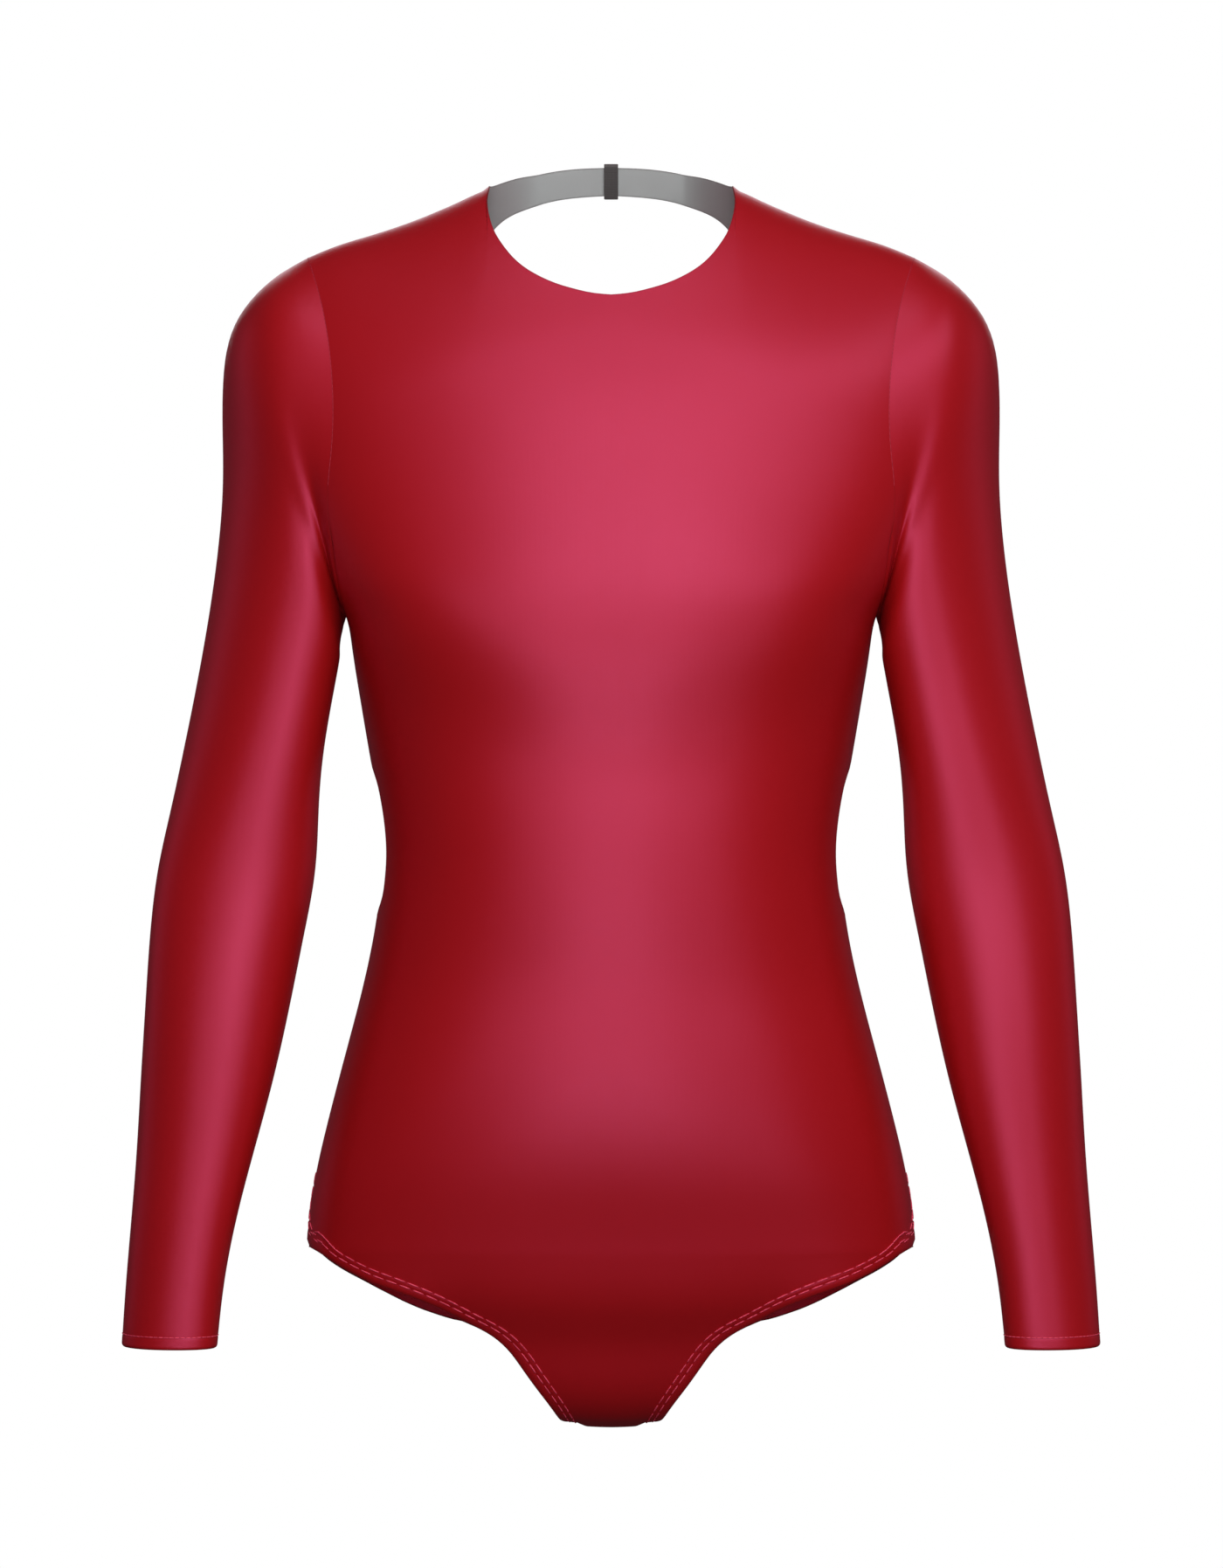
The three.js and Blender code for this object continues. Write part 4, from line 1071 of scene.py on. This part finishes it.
def cuffStitches():
    grid, normals = sleeveGrid()
    level = sleeveRings[-1][1] + cuffHem["rows"][0]
    row = int(np.argmin(np.abs(grid[:, 0, 2] - level)))
    ring = grid[row] + normals[row] * threadLift(cuffHem, cuffStitch)
    ring = evenly(np.concatenate([ring, ring[:1]]), 300)[:-1]
    rows = [stitchRow("cuff_row", flipX(ring) if mirror else ring, cuffStitch, True) for mirror in (False, True)]
    return finishPiece("cuff_stitches", joinMeshes("cuff_stitches", rows), [material["thread"]])


legStitches("front", "frontLeg")
legStitches("back", "backLeg")
cuffStitches()
print("stitches sewn")


def tubeMesh(points, normals, radius, sides=6):
    # a thin closed tube along a line of points
    along = unit(np.gradient(points, axis=0))
    across = unit(np.cross(along, normals))
    up = np.cross(across, along)
    turn = np.arange(sides) * 2 * math.pi / sides
    rings = points[:, None] + radius * (
        np.cos(turn)[None, :, None] * across[:, None] + np.sin(turn)[None, :, None] * up[:, None])
    index = np.arange(len(points) * sides).reshape(len(points), sides)
    faces = quads(np.concatenate([index, index[:, :1]], axis=1))[:, [0, 3, 2, 1]].tolist()
    faces += [index[0].tolist(), index[-1, ::-1].tolist()]
    return meshFrom("tube", rings.reshape(-1, 3) * mm, faces)


armholeSeam = {"radius": 0.22, "sink": 0.12, "lowest": -147, "from": 0.002, "samples": 160}


# a thin thread tube sunk along each armhole seam, from the shoulder down to the top of the crease: a real seam line
# whose pale pink colour is a painted highlight along the seam's fold
def armholeSeamHighlightThreads():
    tubes = []
    for side, name in ((-1, "frontArmhole"), (1, "backArmhole")):
        line = edge[name]
        ends = np.interp(-armholeSeam["lowest"], -line.points[:, 2], line.lengths / line.lengths[-1])
        place = line(np.linspace(armholeSeam["from"], ends, armholeSeam["samples"]))
        normals = bodyNormal(side, *place)
        points = bodyPoint(side, *place) + [seams["sleeveGap"] / 2, 0, 0] - normals * armholeSeam["sink"]
        tubes.append(tubeMesh(points, normals, armholeSeam["radius"]))
        tubes.append(tubeMesh(flipX(points), flipX(normals), armholeSeam["radius"]))
    return finishPiece("armhole_seam_highlight_threads", joinMeshes("armhole_seam_highlight_threads", tubes), [material["seamHighlightThread"]])


armholeSeamHighlightThreads()

tapeShape = {
    "width": 7.7, "wall": 0.9, "clearance": 0.35, "middle": 25.6, "height": 15.4, "outerCorner": 0.8,
    "innerCorner": 0.2, "cornerSteps": 6, "rows": 10, "tuck": 0.16, "tuckFrom": 0.86,
}


def closingTapeMesh():
    # a flat woven loop round both strap ends, with softly rounded corners
    shape = tapeShape
    ends = bodyPoint(1, np.zeros(2), shape["middle"] + np.array([0.5, -0.5]) * shape["height"])
    upper, lower = ends
    along = unit((upper - lower)[None])[0]
    outward = np.array([0, along[2], -along[1]])
    centre = (upper + lower) / 2 - outward * seams["wall"] / 2
    halfHeight = np.linalg.norm(upper - lower) / 2 + shape["clearance"]
    halfDepth = seams["wall"] / 2 + shape["clearance"]

    def loop(extra, radius):
        points = []
        for sx, sy, start in ((1, 1, 0), (-1, 1, 1), (-1, -1, 2), (1, -1, 3)):
            turn = (start + np.linspace(0, 1, shape["cornerSteps"] + 1)) * math.pi / 2
            depth = sx * (halfDepth + extra - radius) + radius * np.cos(turn)
            height = sy * (halfHeight + extra - radius) + radius * np.sin(turn)
            points.append(centre + outward * depth[:, None] + along * height[:, None])
        return np.concatenate(points)

    outer, inner = loop(shape["wall"], shape["outerCorner"]), loop(0, shape["innerCorner"])
    points = []
    for share in np.linspace(-1, 1, shape["rows"] + 1):
        slide = [share * shape["width"] / 2, 0, 0]
        tuck = shape["tuck"] * max(0, abs(share) - shape["tuckFrom"]) / (1 - shape["tuckFrom"])
        points += [outer - unit(outer - centre) * tuck + slide, inner + slide]
    index = np.arange(len(points) * len(outer)).reshape(-1, 2, len(outer))
    index = np.concatenate([index, index[..., :1]], axis=2)
    ends = [quads(index[0]), quads(index[-1])]
    faces = np.concatenate([quads(index[:, 0]), quads(index[:, 1])] + ends)
    return meshFrom("closing_tape_cloth", np.concatenate(points) * mm, faces.tolist())


def closedOutwards(mesh):
    work = bmesh.new()
    work.from_mesh(mesh)
    bmesh.ops.recalc_face_normals(work, faces=work.faces)
    work.to_mesh(mesh)
    work.free()
    return mesh


tapePiece = finishPiece("closing_tape_cloth", closedOutwards(closingTapeMesh()), [material["tape"]],
                        nodes=("closing_tape",))
print("tape folded")

studio = {
    "distance": 3.2, "imageHeight": 0.84365, "aim": (0.000235, -0.304325), "floor": -1.36, "floorSize": 2.2,
    # name, place and power; then a size and a colour where they aren't the usual white panel's
    "panel": (0.8, 0.8),
    "lights": [
        ("front high", (0.31, -2.23, 0.52), 6.8),
        ("front top", (0.0, -1.84, 1.24), 8.8),
        ("front low", (0.0, -2.26, -1.12), 8.4),
        ("front level", (0.0, -2.36, 0.12), 3.2),
        ("right level", (1.18, -2.05, 0.12), 5.2),
        ("right top", (0.92, -1.59, 1.24), 5.2),
        ("right low", (1.13, -1.95, -1.12), 2.9),
        ("far right top", (1.59, -0.92, 1.24), 4.6),
        ("left level", (-0.92, -2.2, -0.3), 2.8),
        ("left high", (-1.04, -1.8, 0.9), 0.7),
        ("overhead", (0.0, -0.82, 1.96), 6.0),
        ("near strip", (0.01, -0.75, -0.2), 0.62, (0.25, 0.7)),
        ("right edge", (2.1, 1.0, 0.1), 1.8, (0.8, 1.4), (1.0, 0.22, 0.36)),
        ("left edge", (-2.1, 1.0, 0.1), 1.8, (0.8, 1.4), (1.0, 0.22, 0.36)),
        ("back", (0.0, 2.4, 0.9), 20, (2.2, 1.4)),
    ],
    "target": (0.0, 0.0, -0.3), "world": 0.125, "worldColour": (1.0, 0.34, 0.44, 1), "sensor": 24,
}


def studioCamera():
    data = bpy.data.cameras.new("camera")
    data.sensor_fit = "VERTICAL"
    data.sensor_height = studio["sensor"]
    data.lens = studio["sensor"] * studio["distance"] / studio["imageHeight"]
    camera = linked("camera", data)
    camera.location = (studio["aim"][0], -studio["distance"], studio["aim"][1])
    camera.rotation_euler = (math.pi / 2, 0, 0)
    scene.camera = camera


def studioLights():
    for name, place, power, *own in studio["lights"]:
        data = bpy.data.lights.new(name, "AREA")
        data.shape = "RECTANGLE"
        data.size, data.size_y = own[0] if own else studio["panel"]
        data.color = own[1] if own[1:] else (1, 1, 1)
        data.energy = power
        lamp = linked(name, data)
        lamp.visible_camera = False
        lamp.location = place
        lamp.rotation_euler = (Vector(studio["target"]) - Vector(place)).to_track_quat("-Z", "Y").to_euler()


def studioWorld():
    world = bpy.data.worlds.new("studio")
    scene.world = world
    tree = emptyTree(world)
    dim = make(tree, "ShaderNodeBackground", {
        "Color": studio["worldColour"], "Strength": studio["world"]})["Background"]
    white = make(tree, "ShaderNodeBackground", {"Color": (1, 1, 1, 1), "Strength": 1.0})["Background"]
    seen = make(tree, "ShaderNodeLightPath")["Is Camera Ray"]
    both = make(tree, "ShaderNodeMixShader", {0: seen, 1: dim, 2: white})["Shader"]
    make(tree, "ShaderNodeOutputWorld", {"Surface": both})


def paleFloor():
    size, z = studio["floorSize"], studio["floor"]
    corners = np.array([(-size, -size, z), (size, -size, z), (size, size, z), (-size, size, z)])
    mesh = meshFrom("floor", corners, [(0, 1, 2, 3)])

    def paint(tree):
        seen = make(tree, "ShaderNodeLightPath")["Is Camera Ray"]
        shade = mixColour(tree, noise(tree, 1.5), (0.86, 0.86, 0.86, 1), (0.9, 0.9, 0.9, 1))
        return {  # seen as pale as the backdrop, and little light bounces back
            "Base Color": mixColour(tree, seen, (0.05, 0.05, 0.05, 1), shade),
            "Emission Color": mixColour(tree, seen, (0, 0, 0, 1), (0.66, 0.66, 0.66, 1)),
        }

    shader = {"Roughness": 0.8, "Specular IOR Level": 0.1, "Emission Strength": 1.0}
    mesh.materials.append(newMaterial("pale_floor", shader, paint))
    linked("floor", mesh)


studioCamera()
studioLights()
studioWorld()
paleFloor()
scene.view_settings.view_transform = "Standard"
scene.view_settings.look = "None"
print("studio ready")
